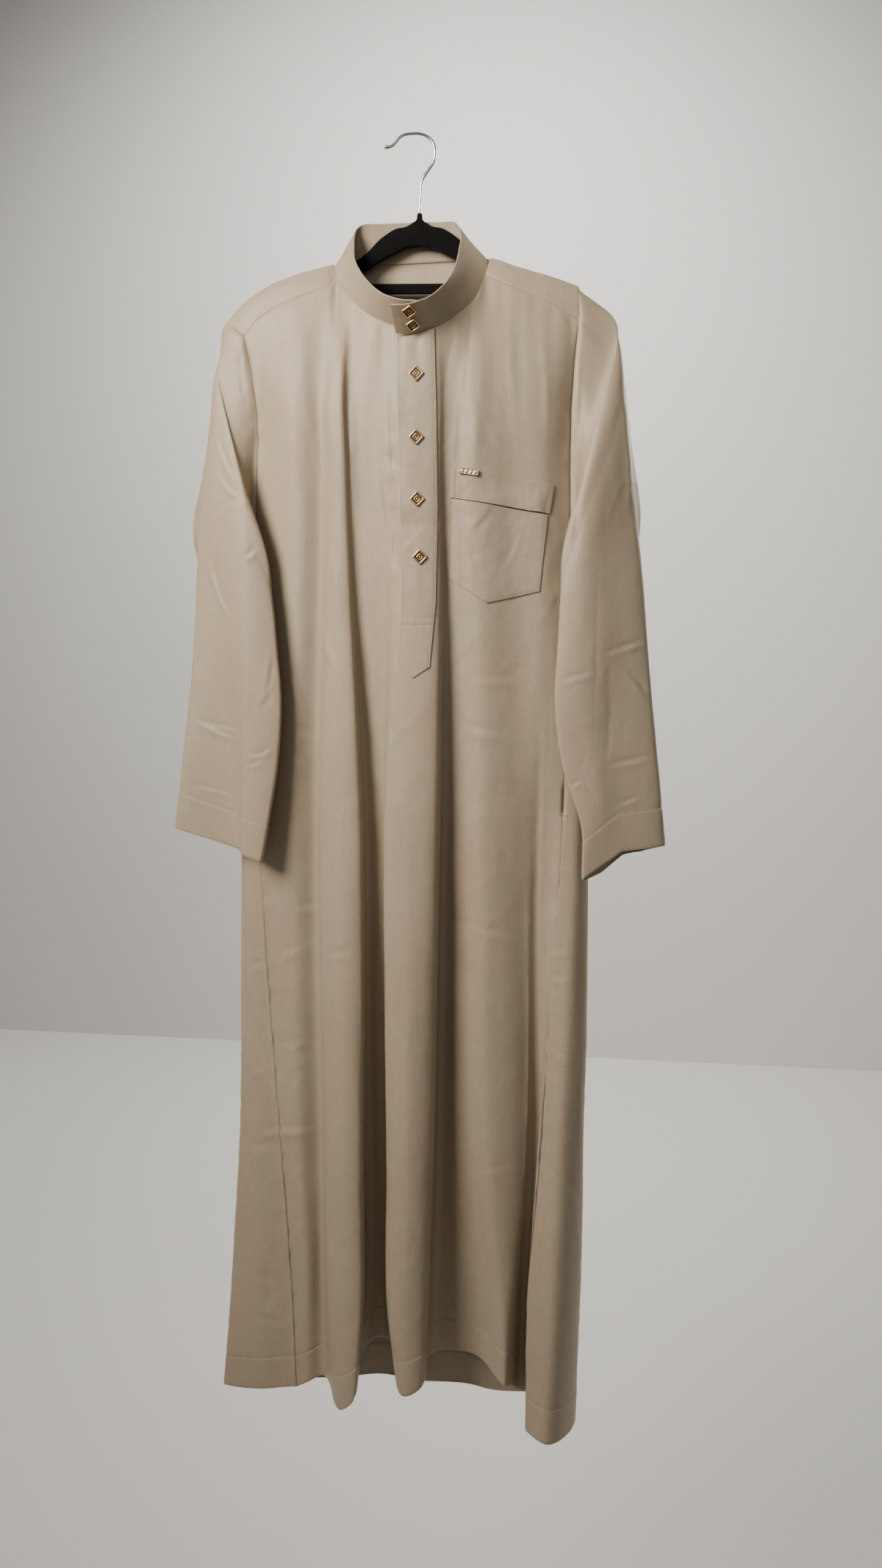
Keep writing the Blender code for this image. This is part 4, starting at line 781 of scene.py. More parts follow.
def blackFlock():
    # moulded ABS flocked with short black rayon fibres: drinks the light, a dull bloom at the edges;
    # the fibres are 0.02 mm thick, so their tufts are drawn 0.7 mm across
    nap = {"deep": "#020202", "light": "#0c0c0c", "tuft": 0.7143}
    finish, tree, shader = newFinish("blackFlock", {
        "Roughness": 0.95, "IOR": 1.46, "Sheen Weight": 0.08, "Sheen Roughness": 0.5,
        "Specular IOR Level": 0.15})
    tufts = addNode(tree, "ShaderNodeTexNoise", {"Scale": 1000 / nap["tuft"], "Detail": 2.0},
                    {"Vector": addNode(tree, "ShaderNodeTexCoord").outputs["Object"]})
    ramp = addNode(tree, "ShaderNodeValToRGB", {}, {"Fac": tufts.outputs["Fac"]})
    first, last = ramp.color_ramp.elements
    first.position, first.color = 0.3, linear(nap["deep"])
    last.position, last.color = 0.75, linear(nap["light"])
    tree.links.new(ramp.outputs["Color"], shader.inputs["Base Color"])
    bump = addNode(tree, "ShaderNodeBump", {"Strength": 0.5, "Distance": 0.0004},
                   {"Height": tufts.outputs["Fac"]})
    tree.links.new(bump.outputs["Normal"], shader.inputs["Normal"])
    return finish


def chromeWire():
    # drawn steel wire, nickel and chrome plated: a sharp mirror, dulled a little by drawing marks,
    # which are too fine to show and are drawn 1.4 mm across
    wire = {"colour": "#c9cccf", "marks": 1.4286}
    finish, tree, shader = newFinish("chromePlatedWire", {
        "Base Color": linear(wire["colour"]), "Metallic": 1.0})
    marks = addNode(tree, "ShaderNodeTexNoise", {"Scale": 1000 / wire["marks"], "Detail": 2.0},
                    {"Vector": addNode(tree, "ShaderNodeTexCoord").outputs["Object"]})
    worn = addNode(tree, "ShaderNodeMapRange", {"To Min": 0.08, "To Max": 0.2},
                   {"Value": marks.outputs["Fac"]})
    tree.links.new(worn.outputs["Result"], shader.inputs["Roughness"])
    return finish


def sewingThread():
    # spun polyester thread, a shade darker than the cloth, slightly glossy along its twist
    yarn = {"deep": "#746858", "light": "#8f826f", "twist": 0.625}
    finish, tree, shader = newFinish("spunPolyesterThread", {
        "Roughness": 0.5, "IOR": 1.5, "Sheen Weight": 0.1})
    twist = addNode(tree, "ShaderNodeTexNoise", {"Scale": 1000 / yarn["twist"], "Detail": 1.0},
                    {"Vector": addNode(tree, "ShaderNodeTexCoord").outputs["Object"]})
    ramp = addNode(tree, "ShaderNodeValToRGB", {}, {"Fac": twist.outputs["Fac"]})
    first, last = ramp.color_ramp.elements
    first.color, last.color = linear(yarn["deep"]), linear(yarn["light"])
    tree.links.new(ramp.outputs["Color"], shader.inputs["Base Color"])
    return finish


suiting, gold, recessShade, pearl = wovenSuiting(), goldPlate(), paintedRecessShade(), beadPearl()
flock, chrome, thread = blackFlock(), chromeWire(), sewingThread()
print("finishes ready")

# --- the body as one tube, so that the panels meet
panels = {}
frontCurves = foldCurves(folds["front"], list(frontFolds.values()), levels)
frontCurves = np.concatenate((frontTop(folds["front"])[None], frontCurves))
panels["front"] = hangColumns(frontCurves, upperShares, lowerShares)
yoke, cornerLeft, cornerRight = yokeGrid()
backCurves = foldCurves(folds["back"], list(backFolds.values()), levels[1:])
backTop = resample(yoke[-1][::-1], 2000)[np.round(folds["back"] / 6 * 1999).astype(int)]
panels["back"] = hangColumns(np.concatenate((backTop[None], backCurves)), upperShares, lowerShares)
rowsAbove = len(upperShares)
atFront, atBack = list(frontFolds.values()), list(backFolds.values())
for name, table, start, end in (
        ("goreRight", [atFront[-1][1:], *goreRightFolds.values(), atBack[0]], ("front", -1), ("back", 0)),
        ("goreLeft", [atBack[-1], *goreLeftFolds.values(), atFront[0][1:]], ("back", -1), ("front", 0))):
    grid = hangColumns(foldCurves(folds[name], table, levels[1:]), [], lowerShares)
    grid[:, 0], grid[:, -1] = (panels[side][rowsAbove:, column] for side, column in (start, end))
    panels[name] = np.concatenate((np.full((rowsAbove, grid.shape[1], 3), np.nan), grid))
tube = np.concatenate([panels[name][:, :-1] for name in order], axis=1)
tubeOut = surfaceNormals(tube, closed=True)
tubeOut = np.concatenate((tubeOut, tubeOut[:, :1]), axis=1)
outward, start = {}, 0
for name in order:
    width = panels[name].shape[1]
    outward[name] = tubeOut[:, start:start + width].copy()
    start += width - 1
    if name.startswith("gore"):
        panels[name], outward[name] = panels[name][rowsAbove:], outward[name][rowsAbove:]
    else:
        outward[name][:rowsAbove] = surfaceNormals(panels[name])[:rowsAbove]
yokeOut = -surfaceNormals(yoke)
evenOut(yokeOut, ((cornerLeft, 1), (cornerRight, -1)), 30)
print("body drawn")


def seamDistance(grid, column):
    run = travel(grid, 1)
    return np.abs(run - run[:, column][:, None])


# the pocket mouth left open in the right side seam, with a tack across its foot
mouth = {"foot": -831, "top": -783, "deep": 4.0, "half": 2.2, "tack": (-828.6, -828.0, -827.4)}
# the left seam's allowance, which pushes out low down: ridge and groove as height and half width
welt = {"from": -880, "over": 60, "ridge": (1.9, 3.4), "groove": (1.3, 1.1)}


def dressPanel(name, grid, out):
    height = drape(grid, out)
    down = travel(grid, 0)
    z = grid[..., 2]
    for column, shift in ((0, 2), (-1, 5)):
        away = seamDistance(grid, column)
        key = shift + (7 if grid[0, column, 0] > 0 else 0)
        height += seamRelief(away, z, key, pucker=0.9 if grid[0, column, 0] < 0 else 0.55)
        if grid[0, column, 0] < 0 and name in ("front", "goreLeft"):
            (tall, ridge), (deep, groove) = welt["ridge"], welt["groove"]
            below = smoothStep((welt["from"] - z) / welt["over"])
            height += (tall * dent(away, ridge) - deep * dent(away, groove)) * below
        if grid[0, column, 0] > 0 and name in ("front", "goreRight"):
            gap = smoothStep((z - mouth["foot"]) / 5) * smoothStep((mouth["top"] - z) / 22)
            height -= mouth["deep"] * dent(away, mouth["half"]) * gap
    toHem = down[-1] - down
    height += 0.35 * smoothStep((hem["depth"] - toHem) / 3) * (z < armpit)     # the hem's doubled cloth
    height -= 0.5 * dent(toHem - hem["depth"], 1.1) * (z < armpit)             # its stitches
    height -= 0.9 * dent(toHem, 1.4) * (z < armpit)                            # its folded edge
    if not name.startswith("gore"):
        height *= smoothStep((down - 1.0) / 14)
        ruffle = cloud(np.stack((grid[..., 0], 0 * z, 0 * z), axis=-1), (7.5, 1, 1), 31)
        height += 1.1 * ruffle * smoothStep((down - 1.5) / 8) * np.exp(-down / 24)
        height -= 0.9 * dent(down, 1.0)
    thick = clothThick + 1.0 * smoothStep((hem["depth"] - toHem) / 2) * (z < armpit)
    return grid + out * height[..., None], thick


dressed = {}
nodes = {"front": "front", "back": "back", "goreRight": "gore_right", "goreLeft": "gore_left"}
for name in order:
    dressed[name], thick = dressPanel(name, panels[name], outward[name])
    mesh = clothMesh(name, dressed[name], outward[name], thick)
    addPiece(name, mesh, [suiting], nodes[name])

# yoke: set by its seams, smooth over the hanger
yokeHeight = unevenness(yoke, 0.6)
yokeDown, yokeUp = travel(yoke, 0), travel(yoke[::-1], 0)[::-1]
yokeHeight *= smoothStep((np.minimum(yokeDown, yokeUp) - 1) / 14)
yokeHeight -= 0.9 * dent(np.minimum(yokeDown, yokeUp), 1.0)
for column in (0, -1):
    yokeHeight += seamRelief(seamDistance(yoke, column), yokeDown, 15, dip=0.25, pucker=0.3)
yokeDressed = yoke + yokeOut * yokeHeight[..., None]
addPiece("yoke", clothMesh("yoke", yokeDressed, yokeOut, clothThick), [suiting], "yoke")
print("body sewn together")


# --- sleeves
def armholeRing(yokeEnd, frontEdge, goreTop, backEdge):
    ridge = int(np.argmax(yokeEnd[:, 2]))
    middle = len(goreTop) // 2
    down = np.concatenate((yokeEnd[:ridge + 1][::-1], frontEdge[1:], goreTop[1:middle + 1]))
    up = np.concatenate((goreTop[middle:-1], backEdge[::-1], yokeEnd[ridge:][::-1][1:]))
    half = grain["sleeveColumns"] // 2
    return np.concatenate((resample(down, half + 1)[:-1], resample(up, half + 1)[:-1]))


def sleeveGrid(side, seam, table):
    # the tube's ring starts at the shoulder's ridge and runs down the front and up the back;
    # `at` counts it from 0 to 6, with the fold under the arm at 3
    ring, facing = seam[:, :3], seam[:, 3:]
    facing = facing / np.linalg.norm(facing, axis=1, keepdims=True)
    byRing = (ring[0, 2] - ring[:, 2]) / np.ptp(ring[:, 2])
    corner = int(np.argmax(byRing > 0.99))
    at = np.concatenate((np.linspace(0, 3, corner + 1)[:-1], np.linspace(3, 6, len(ring) - corner + 1)[:-1]))
    away = -1.0 if side == "left" else 1.0
    under = np.clip((armpit + 30 - ring[:, 2]) / 30, 0, 1)[:, None]      # 1 under the arm
    forward = under[:, 0] * np.clip(-facing[:, 1], 0, 1)                 # and facing the front there
    ring = ring + np.array((away * sleeve["seamGap"], 0, 0)) + under * (0, 0, sleeve["underarmLift"])
    ahead = np.where(at <= 3, -2.0, 0.0) - 6 * forward
    atTop = np.clip(1 - byRing * 8, 0, 1)        # the head slopes on from the shoulder before it falls
    turn = ring + np.column_stack((away * (sleeve["headOut"] - forward - 2.5 * atTop),
                                   ahead * (1 - 0.6 * atTop),
                                   6 * under[:, 0] - sleeve["headDown"] - 2.5 * atTop))
    shares, sections = [0.0, 0.02], [ring, turn]
    for share, zOut, zIn, *outline in table:
        flat = spline(outline, at, closed=True)
        xOut, xIn = outline[0][0], outline[3][0]
        byWidth = np.clip((flat[:, 0] - xOut) / (xIn - xOut), 0, 1)
        across = byRing + (byWidth - byRing) * min(1.0, share / sleeve["byWidthFrom"])
        leaning = np.interp(across, (0, 0.52, 1), (0, sleeve["cuffMiddle"][side], 1))
        across += (leaning - across) * share ** 4
        back = np.clip(at - 3.0, 0, 1) * np.clip(6.0 - at, 0, 1)
        room = np.clip(np.minimum(np.abs(at - 3), np.minimum(at, 6 - at)) / 0.15, 0, 1)
        room *= sleeve["foldRoom"] * min(1.0, share / 0.1)
        flat[:, 1] += np.where(at < 3, -room, room)
        z = zOut + (zIn - zOut) * across - sleeve["cuffDrop"][side] * back * share ** 6
        shares.append(share)
        sections.append(np.column_stack((flat, z)))
    knots = np.repeat(np.array(shares)[:, None], len(ring), axis=1)
    atCuff = np.concatenate((hem["cuff"] + np.array((-1.5, -0.5, 0.5, 1.5)), (1.0, 2.4)))
    atCuff = 1 - atCuff / hem["sleeveLength"]        # rows at the cuff's stitches and its edge
    steps = np.linspace(0, 1, grain["sleeveRows"] + 1) ** 1.15
    steps = np.sort(np.concatenate((steps, [0.0006, 0.002], atCuff)))
    return through(knots, np.array(sections), [np.full(len(ring), s) for s in steps]), at


sleeveCreases = {
    "left": (
        (((-211, -597), (-216, -730), (-223, -890)), 7, -2.6, 0.8),
        (((-265, -463), (-226, -446), (-186, -436)), 6, 1.8, 0.6),
        (((-266, -498), (-234, -576), (-215, -583)), 6, 1.8, 0.6),
        (((-210, -516), (-196, -508), (-182, -496)), 5, 1.5, 0.5),
        (((-171, -664), (-181, -682), (-193, -696)), 5, 1.5, 0.5),
        (((-290, -712), (-252, -730), (-215, -739)), 5, 1.5, 0.6),
        (((-210, -772), (-191, -767), (-174, -755)), 4, 1.3, 0.6),
        (((-262, -250), (-272, -330), (-276, -400)), 9, 1.6, 0.4),
        (((-221, -224), (-217, -253), (-214, -289), (-210, -311), (-207, -336)), 3, -2.0, 0),
        (((-211, -240), (-212, -271), (-210, -296)), 3, 1.5, 0),
        (((-253, -346), (-239, -383), (-219, -418)), 5, 1.5, 0.6),
        (((-249, -401), (-227, -426), (-202, -438)), 5, 1.6, 0.7),
        (((-210, -492), (-201, -510), (-184, -489)), 4, 1.4, 0.7),
        (((-173, -620), (-176, -650), (-186, -690)), 4, 1.3, 0.6),
        (((-206, -757), (-185, -756), (-168, -744)), 4, 1.4, 0.6),
        (((-296, -716), (-259, -722), (-210, -729)), 5, 1.6, 0.7),
        (((-294, -801), (-261, -805), (-222, -814)), 4, 1.3, 0.6),
    ),
    "right": (
        (((245, -600), (248, -700), (246, -800)), 10, -0.7, 0),
        (((237, -632), (268, -622), (298, -614)), 5, 1.9, 0.8),
        (((183, -663), (210, -658), (236, -651)), 5, 1.5, 0.6),
        (((255, -640), (277, -662), (299, -694)), 5, 1.7, 0.6),
        (((238, -768), (272, -762), (309, -755)), 5, 1.9, 0.8),
        (((250, -290), (268, -400), (266, -470)), 10, 1.8, 0.4),
        (((202, -794), (214, -785), (226, -798)), 4, 1.2, 0.6),
        (((256, -813), (273, -810), (291, -803)), 4, 1.2, 0.6),
        (((206, -240), (203, -332), (200, -431), (198, -534)), 5, 1.5, 0.6),
        (((232, -500), (231, -634), (229, -745)), 6, -0.8, 0),
    ),
}
sleeveBackCreases = {
    "left": (
        (((-270, -420), (-236, -436), (-210, -452)), 7, 1.8, 0.6),
        (((-282, -560), (-244, -548), (-205, -556)), 6, 1.6, 0.6),
        (((-286, -640), (-250, -652), (-200, -646)), 6, 1.7, 0.6),
        (((-240, -560), (-246, -680), (-244, -800)), 9, -1.8, 0),
        (((-292, -740), (-262, -752), (-220, -748)), 5, 1.5, 0.6),
    ),
    "right": (
        (((272, -430), (244, -444), (214, -452)), 7, 1.8, 0.6),
        (((284, -556), (250, -562), (214, -572)), 6, 1.6, 0.6),
        (((290, -668), (256, -660), (212, -668)), 6, 1.6, 0.6),
        (((252, -560), (256, -690), (258, -810)), 9, -1.8, 0),
        (((300, -742), (270, -750), (236, -744)), 5, 1.4, 0.6),
    ),
}


def dressSleeve(side, ends, table):
    grid, at = sleeveGrid(side, armholeRing(*ends), table)
    out = surfaceNormals(grid, closed=True) * (-1 if side == "right" else 1)
    for _ in range(4):
        out = out * 2 + np.roll(out, 1, axis=1) + np.roll(out, -1, axis=1)
        out /= np.linalg.norm(out, axis=2, keepdims=True)
    x, z = grid[..., 0], grid[..., 2]
    front = smoothStep(np.minimum(3.1 - at, 1) * 4) * (at < 3.1) * smoothStep(at * 4 + 0.3)
    front = np.broadcast_to(front, x.shape)
    height = unevenness(grid + (0, 0, 37), 0.55)
    addCreases(height, x, z, front, sleeveCreases[side], onSleeve)
    addCreases(height, x, z, 1 - front, sleeveBackCreases[side], onSleeve)
    fromTop = travel(grid, 0)
    toCuff = fromTop[-1] - fromTop
    height *= smoothStep((fromTop - 0.5) / 9)
    height -= 0.3 * dent(fromTop, 1.1)                         # armhole seam
    height += 0.4 * smoothStep((hem["cuff"] - toCuff) / 3)     # the cuff's doubled cloth
    height -= 0.5 * dent(toCuff - hem["cuff"], 1.1)            # its stitches
    height -= 0.8 * dent(toCuff, 1.4)                          # its folded edge
    thick = clothThick + 0.9 * smoothStep((hem["cuff"] - toCuff) / 2)
    outer = grid + out * height[..., None]
    name = "sleeve" + side.capitalize()
    mesh = clothMesh(name, outer, out, thick, closed=True)
    addPiece(name, mesh, [suiting], "sleeve_" + side)
    return outer, out


def edgeOf(grid, out, rows, columns):
    return np.concatenate((grid[rows, columns], out[rows, columns]), axis=-1)


every, hole = slice(None), slice(0, rowsAbove + 1)
sleeves = {
    "left": dressSleeve("left", (edgeOf(yokeDressed, yokeOut, every, 0),
                                 edgeOf(dressed["front"], outward["front"], hole, 0),
                                 edgeOf(dressed["goreLeft"], outward["goreLeft"], 0, every)[::-1],
                                 edgeOf(dressed["back"], outward["back"], hole, -1)), sleeveLeft),
    "right": dressSleeve("right", (edgeOf(yokeDressed, yokeOut, every, -1),
                                   edgeOf(dressed["front"], outward["front"], hole, -1),
                                   edgeOf(dressed["goreRight"], outward["goreRight"], 0, every),
                                   edgeOf(dressed["back"], outward["back"], hole, 0)), sleeveRight),
}
print("sleeves set in")

# --- pieces sewn on: their edges are turned under and pressed round
def edged(piece, lines, size):
    # fractions along a piece's "wide" or "high", with extra ones where its edges turn over
    near = np.array((0, 0.08, 0.3, 0.65, 1.0, 1.6)) * (piece["thick"] / 2) / piece[size]
    between = np.linspace(near[-1], 1 - near[-1], piece[lines])[1:-1]
    return np.concatenate((near, between, 1 - near[::-1]))


def turnedUnder(grid, radius):
    # how far each point lies from the edges, and how far the face drops where the cloth turns over
    runDown, runAcross = travel(grid, 0), travel(grid, 1)
    reach = {"top": runDown, "bottom": runDown[-1] - runDown,
             "left": runAcross, "right": runAcross[:, -1:] - runAcross}
    away = np.min(list(reach.values()), axis=0)
    return radius - np.sqrt(np.maximum(radius ** 2 - np.maximum(radius - away, 0) ** 2, 0)), reach


def sewnPiece(name, node, grid, out, piece, relief):
    drop, reach = turnedUnder(grid, piece["thick"] / 2)
    outer = grid + out * (piece["lift"] + piece["thick"] - drop + relief(reach))[..., None]
    addPiece(name, clothMesh(name, outer, out, piece["thick"] - 2 * drop * 0.96), [suiting], node)
    return outer


# collar band, closed by a tab that lies over the band's inner end
collar = {"thick": 2.0, "lift": -2.0, "tabEnd": 4.35, "bandStart": 5.75, "innerDrop": 2.5, "tabLift": 2.7,
          "droop": (0.0, -7.0, -8.0), "wide": 470, "high": 42, "columns": 290, "rows": 20,
          "easeFrom": 7.2, "droopFrom": 5.7, "stitch": 3.0, "lowStitch": 2.4}
station = collar["bandStart"] + edged(collar, "columns", "wide") * (
    collar["tabEnd"] - stations - collar["bandStart"])
byHeight = edged(collar, "rows", "high")
collarGrid = np.array([neckPoint(station % stations, rim=1 - 1.03 * h) for h in byHeight])
innerEnd = smoothStep((station - collar["bandStart"] + 0.6) / 0.6)
collarGrid[..., 2] -= collar["innerDrop"] * np.outer(1 - byHeight, innerEnd)
collarOut = -surfaceNormals(collarGrid)
toEnd = station + stations
# the tab lifts off over the band's inner end, and its own end droops
ease = smoothStep((collar["easeFrom"] - toEnd) / (collar["easeFrom"] - collar["bandStart"])) * (station < 0)
hangs = np.clip((collar["droopFrom"] - toEnd) / (collar["droopFrom"] - collar["tabEnd"]), 0, 1) * (station < 0)
collarGrid += collarOut * (ease * collar["tabLift"])[None, :, None]
collarGrid += np.array(collar["droop"]) * hangs[None, :, None]


def collarRelief(reach):
    soft = 0.55 * cloud(collarGrid, (42, 42, 30), 5) + 0.16 * cloud(collarGrid, (9, 9, 9), 9)
    rib = -0.18 * dent(reach["top"] - collar["stitch"], 0.9)
    low = -0.35 * dent(reach["bottom"] - collar["lowStitch"], 0.9)
    return soft * smoothStep(reach["bottom"] / 8) + rib + low


collarOuter = sewnPiece("collar", "collar", collarGrid, collarOut, collar, collarRelief)


def treeOf(outer):
    # a surface that rays can be cast at
    wide = outer.shape[1]
    first = (np.arange(len(outer) - 1)[:, None] * wide + np.arange(wide - 1)).ravel()[:, None]
    corners = (first + (0, wide, wide + 1, 1)).tolist()
    return BVHTree.FromPolygons([Vector(p) for p in outer.reshape(-1, 3)], corners)


# what the placket and pocket are sewn onto
frontTree = treeOf(dressed["front"][:rowsAbove + 60])


def layOn(spots):
    # points of the front under a grid of x, z spots, and the way out of it, a little smoothed
    low = np.array([[frontTree.ray_cast(Vector((x, castFrom, z)), Vector((0, 1, 0)))[0] for x, z in row]
                    for row in spots], float)
    out = surfaceNormals(low)
    out *= -np.sign(out[..., 1:2])
    for _ in range(3):
        for axis in (0, 1):
            out = out * 2 + np.roll(out, 1, axis=axis) + np.roll(out, -1, axis=axis)
            out /= np.linalg.norm(out, axis=2, keepdims=True)
    return low, out


placket = {"thick": 1.3, "lift": 0.35, "wide": 45, "high": 410, "columns": 30, "rows": 230,
           "stitch": 2.6, "openStitch": 1.7, "tip": (8, -657),
           # z, x on the left, x on the right
           "edges": ((-242, -11, 34), (-330, -9, 37), (-461, -6, 38), (-566, -5, 36), (-643, -10, 29)),
           "crossed": (-583.2, -591.3), "fold": (-449.0, -472.0)}
edges = np.array(placket["edges"], float)
spots = []
for share in edged(placket, "columns", "wide"):
    corner = edges[-1, 1] + share * (edges[-1, 2] - edges[-1, 1])
    side = edges[-1, 1] if corner < placket["tip"][0] else edges[-1, 2]
    toTip = (corner - side) / (placket["tip"][0] - side)
    low = edges[-1, 0] + toTip * (placket["tip"][1] - edges[-1, 0])
    atTop = edges[0, 1] + share * (edges[0, 2] - edges[0, 1])
    top = neckPoint(np.interp(atTop, [neckPoint(s)[0, 0] for s in (4, 5, 6)], (4, 5, 6)))[0, 2] - 4.0
    z = top + (low - top) * edged(placket, "rows", "high")
    left, right = (np.interp(-z, -edges[:, 0], edges[:, k]) for k in (1, 2))
    spots.append(np.column_stack((left + share * (right - left), z)))
placketGrid, placketOut = layOn(np.array(spots).transpose(1, 0, 2))


def placketRelief(reach):
    z = placketGrid[..., 2]
    openEdge = 0.5 + 0.5 * cloud(np.stack((z * 0, z * 0, z), axis=-1), (1, 1, 46), 13)
    lifted = 1.9 * openEdge * np.exp(-reach["left"] / 5.5) * smoothStep((z + 585) / 30)
    sewn = -0.45 * dent(reach["right"] - placket["stitch"], 1.0)
    crossed = sum(-0.4 * dent(z - level, 1.2) for level in placket["crossed"])
    folded = 0.8 * dent(z - placket["fold"][0], 9) - 0.8 * dent(z - placket["fold"][1], 7)
    soft = 0.3 * cloud(placketGrid, (16, 16, 30), 17) + 0.12 * cloud(placketGrid, (5, 5, 7), 19)
    return lifted + sewn + crossed + folded + soft


placketOuter = sewnPiece("placket", "placket", placketGrid, placketOut, placket, placketRelief)

# patch pocket with a pointed bottom, and the band across its mouth
pocket = {"thick": 1.3, "lift": 0.5, "left": (50, -534), "right": (161, -551), "tip": (97, -565),
          "wide": 115, "high": 105, "columns": 70, "rows": 76, "stitch": 1.6}
band = {"thick": 1.4, "lift": 0.7, "topLeft": (54, -403), "topRight": (177, -423),
        "lowLeft": (52, -438), "lowRight": (172, -458), "wide": 124, "high": 35, "columns": 90, "rows": 24,
        "gape": 2.8, "stitch": 6.5}


def between(corners, across, down):
    topLeft, topRight, lowLeft, lowRight = (np.array(c, float) for c in corners)
    u, v = across[None, :, None], down[:, None, None]
    return (topLeft + (topRight - topLeft) * u) * (1 - v) + (lowLeft + (lowRight - lowLeft) * u) * v


across, down = edged(pocket, "columns", "wide"), edged(pocket, "rows", "high")
underBand = [(band[end][0] + shift, band[end][1] - 1) for end, shift in (("lowLeft", 1), ("lowRight", -2))]
spots = between((*underBand, pocket["left"], pocket["right"]), across, down)
tipShare = (pocket["tip"][0] - pocket["left"][0]) / (pocket["right"][0] - pocket["left"][0])
fall = pocket["tip"][1] - (pocket["left"][1] + tipShare * (pocket["right"][1] - pocket["left"][1]))
spots[..., 1] += fall * np.minimum(across / tipShare, (1 - across) / (1 - tipShare)) * down[:, None]
pocketGrid, pocketOut = layOn(spots)
pocketCreases = (
    (((106, -440), (92, -460), (72, -482)), 3.5, 1.4, 0.8),
    (((140, -470), (132, -500), (118, -530)), 5, 0.9, -0.5),
    (((66, -492), (78, -516), (82, -544)), 4, 0.8, 0.5),
)


def pocketRelief(reach):
    away = np.min([reach[side] for side in ("left", "right", "bottom")], axis=0)
    full = 1.5 * smoothStep(away / 30) * smoothStep((100 - reach["top"]) / 80)
    sewn = -0.4 * dent(away - pocket["stitch"], 1.0)
    soft = 0.7 * cloud(pocketGrid, (30, 30, 42), 23) + 0.18 * cloud(pocketGrid, (8, 8, 11), 29)
    addCreases(soft, pocketGrid[..., 0], pocketGrid[..., 2], 1 + 0 * away, pocketCreases)
    return full + sewn + soft * smoothStep(away / 6)


pocketOuter = sewnPiece("pocket", "pocket", pocketGrid, pocketOut, pocket, pocketRelief)
across, down = edged(band, "columns", "wide"), edged(band, "rows", "high")
bandCorners = [band[k] for k in ("topLeft", "topRight", "lowLeft", "lowRight")]
bandGrid, bandOut = layOn(between(bandCorners, across, down))


def bandRelief(reach):
    sides = np.minimum(reach["left"], reach["right"])
    x = bandGrid[..., 0]
    loose = smoothStep((x - 84) / 30) * smoothStep((170 - x) / 14)
    gaping = band["gape"] * loose * smoothStep((reach["top"] - 6) / 26)
    joined = -0.45 * dent(reach["bottom"] - 1.8, 0.9) * (1 - loose)
    sewn = -0.4 * dent(sides - band["stitch"], 1.1)
    soft = 0.3 * cloud(bandGrid, (26, 26, 20), 31) + 0.12 * cloud(bandGrid, (7, 7, 7), 37)
    return gaping + joined + sewn + soft


bandOuter = sewnPiece("pocketBand", "pocket_band", bandGrid, bandOut, band, bandRelief)
print("collar, placket and pocket sewn on")


# --- cast studs and the pin
def hoops(rows, around, ends=True):
    # faces between rings of points, which close on the first ring or end in two flat caps
    last = rows - 1 if ends else rows
    faces = [(r * around + c, r * around + (c + 1) % around,
              (r + 1) % rows * around + (c + 1) % around, (r + 1) % rows * around + c)
             for r in range(last) for c in range(around)]
    return faces + ([tuple(range(around)), tuple(range(last * around, rows * around))] if ends else [])


def stacked(rings, centre, normal, turn=0.0):
    # outlines stacked along a stud's own axis, closed at both ends, then set on a surface
    out = Vector(normal).normalized()
    side = Vector((0, 0, 1)).cross(out).normalized()
    upright = Matrix((side, out.cross(side), out)).transposed() @ Matrix.Rotation(math.radians(turn), 3, "Z")
    verts = [np.array(centre) + np.array(upright @ Vector((x, y, height)))
             for outline, height in rings for x, y in outline]
    return verts, hoops(len(rings), len(rings[0][0]))


def roundedBox(halfX, halfY, radius, turn=0.0, steps=5):
    outline = []
    for quarter, (sx, sy) in enumerate(((1, 1), (-1, 1), (-1, -1), (1, -1))):
        for k in range(steps + 1):
            angle = math.radians(90 * quarter + 90 * k / steps)
            x = sx * (halfX - radius) + radius * math.cos(angle)
            y = sy * (halfY - radius) + radius * math.sin(angle)
            c, s = math.cos(math.radians(turn)), math.sin(math.radians(turn))
            outline.append((x * c - y * s, x * s + y * c))
    return outline


def joined(parts):
    verts, faces = [], []
    for moreVerts, moreFaces in parts:
        faces += [tuple(k + len(verts) for k in face) for face in moreFaces]
        verts += list(moreVerts)
    return np.array(verts, float), faces


def seatOn(tree, x, z, halfWide, halfHigh, slope=0.0):
    # middle and direction of a flat piece that rests on a surface
    def point(u, v):
        return np.array(tree.ray_cast(Vector((u, castFrom, v)), Vector((0, 1, 0)))[0])
    left, right = point(x - halfWide, z - slope * halfWide), point(x + halfWide, z + slope * halfWide)
    low, high, middle = point(x, z - halfHigh), point(x, z + halfHigh), point(x, z)
    out = np.cross(right - left, high - low)
    out *= -np.sign(out[1]) / np.linalg.norm(out)
    return middle + out * max((p - middle) @ out for p in (left, right, low, high, middle)), out


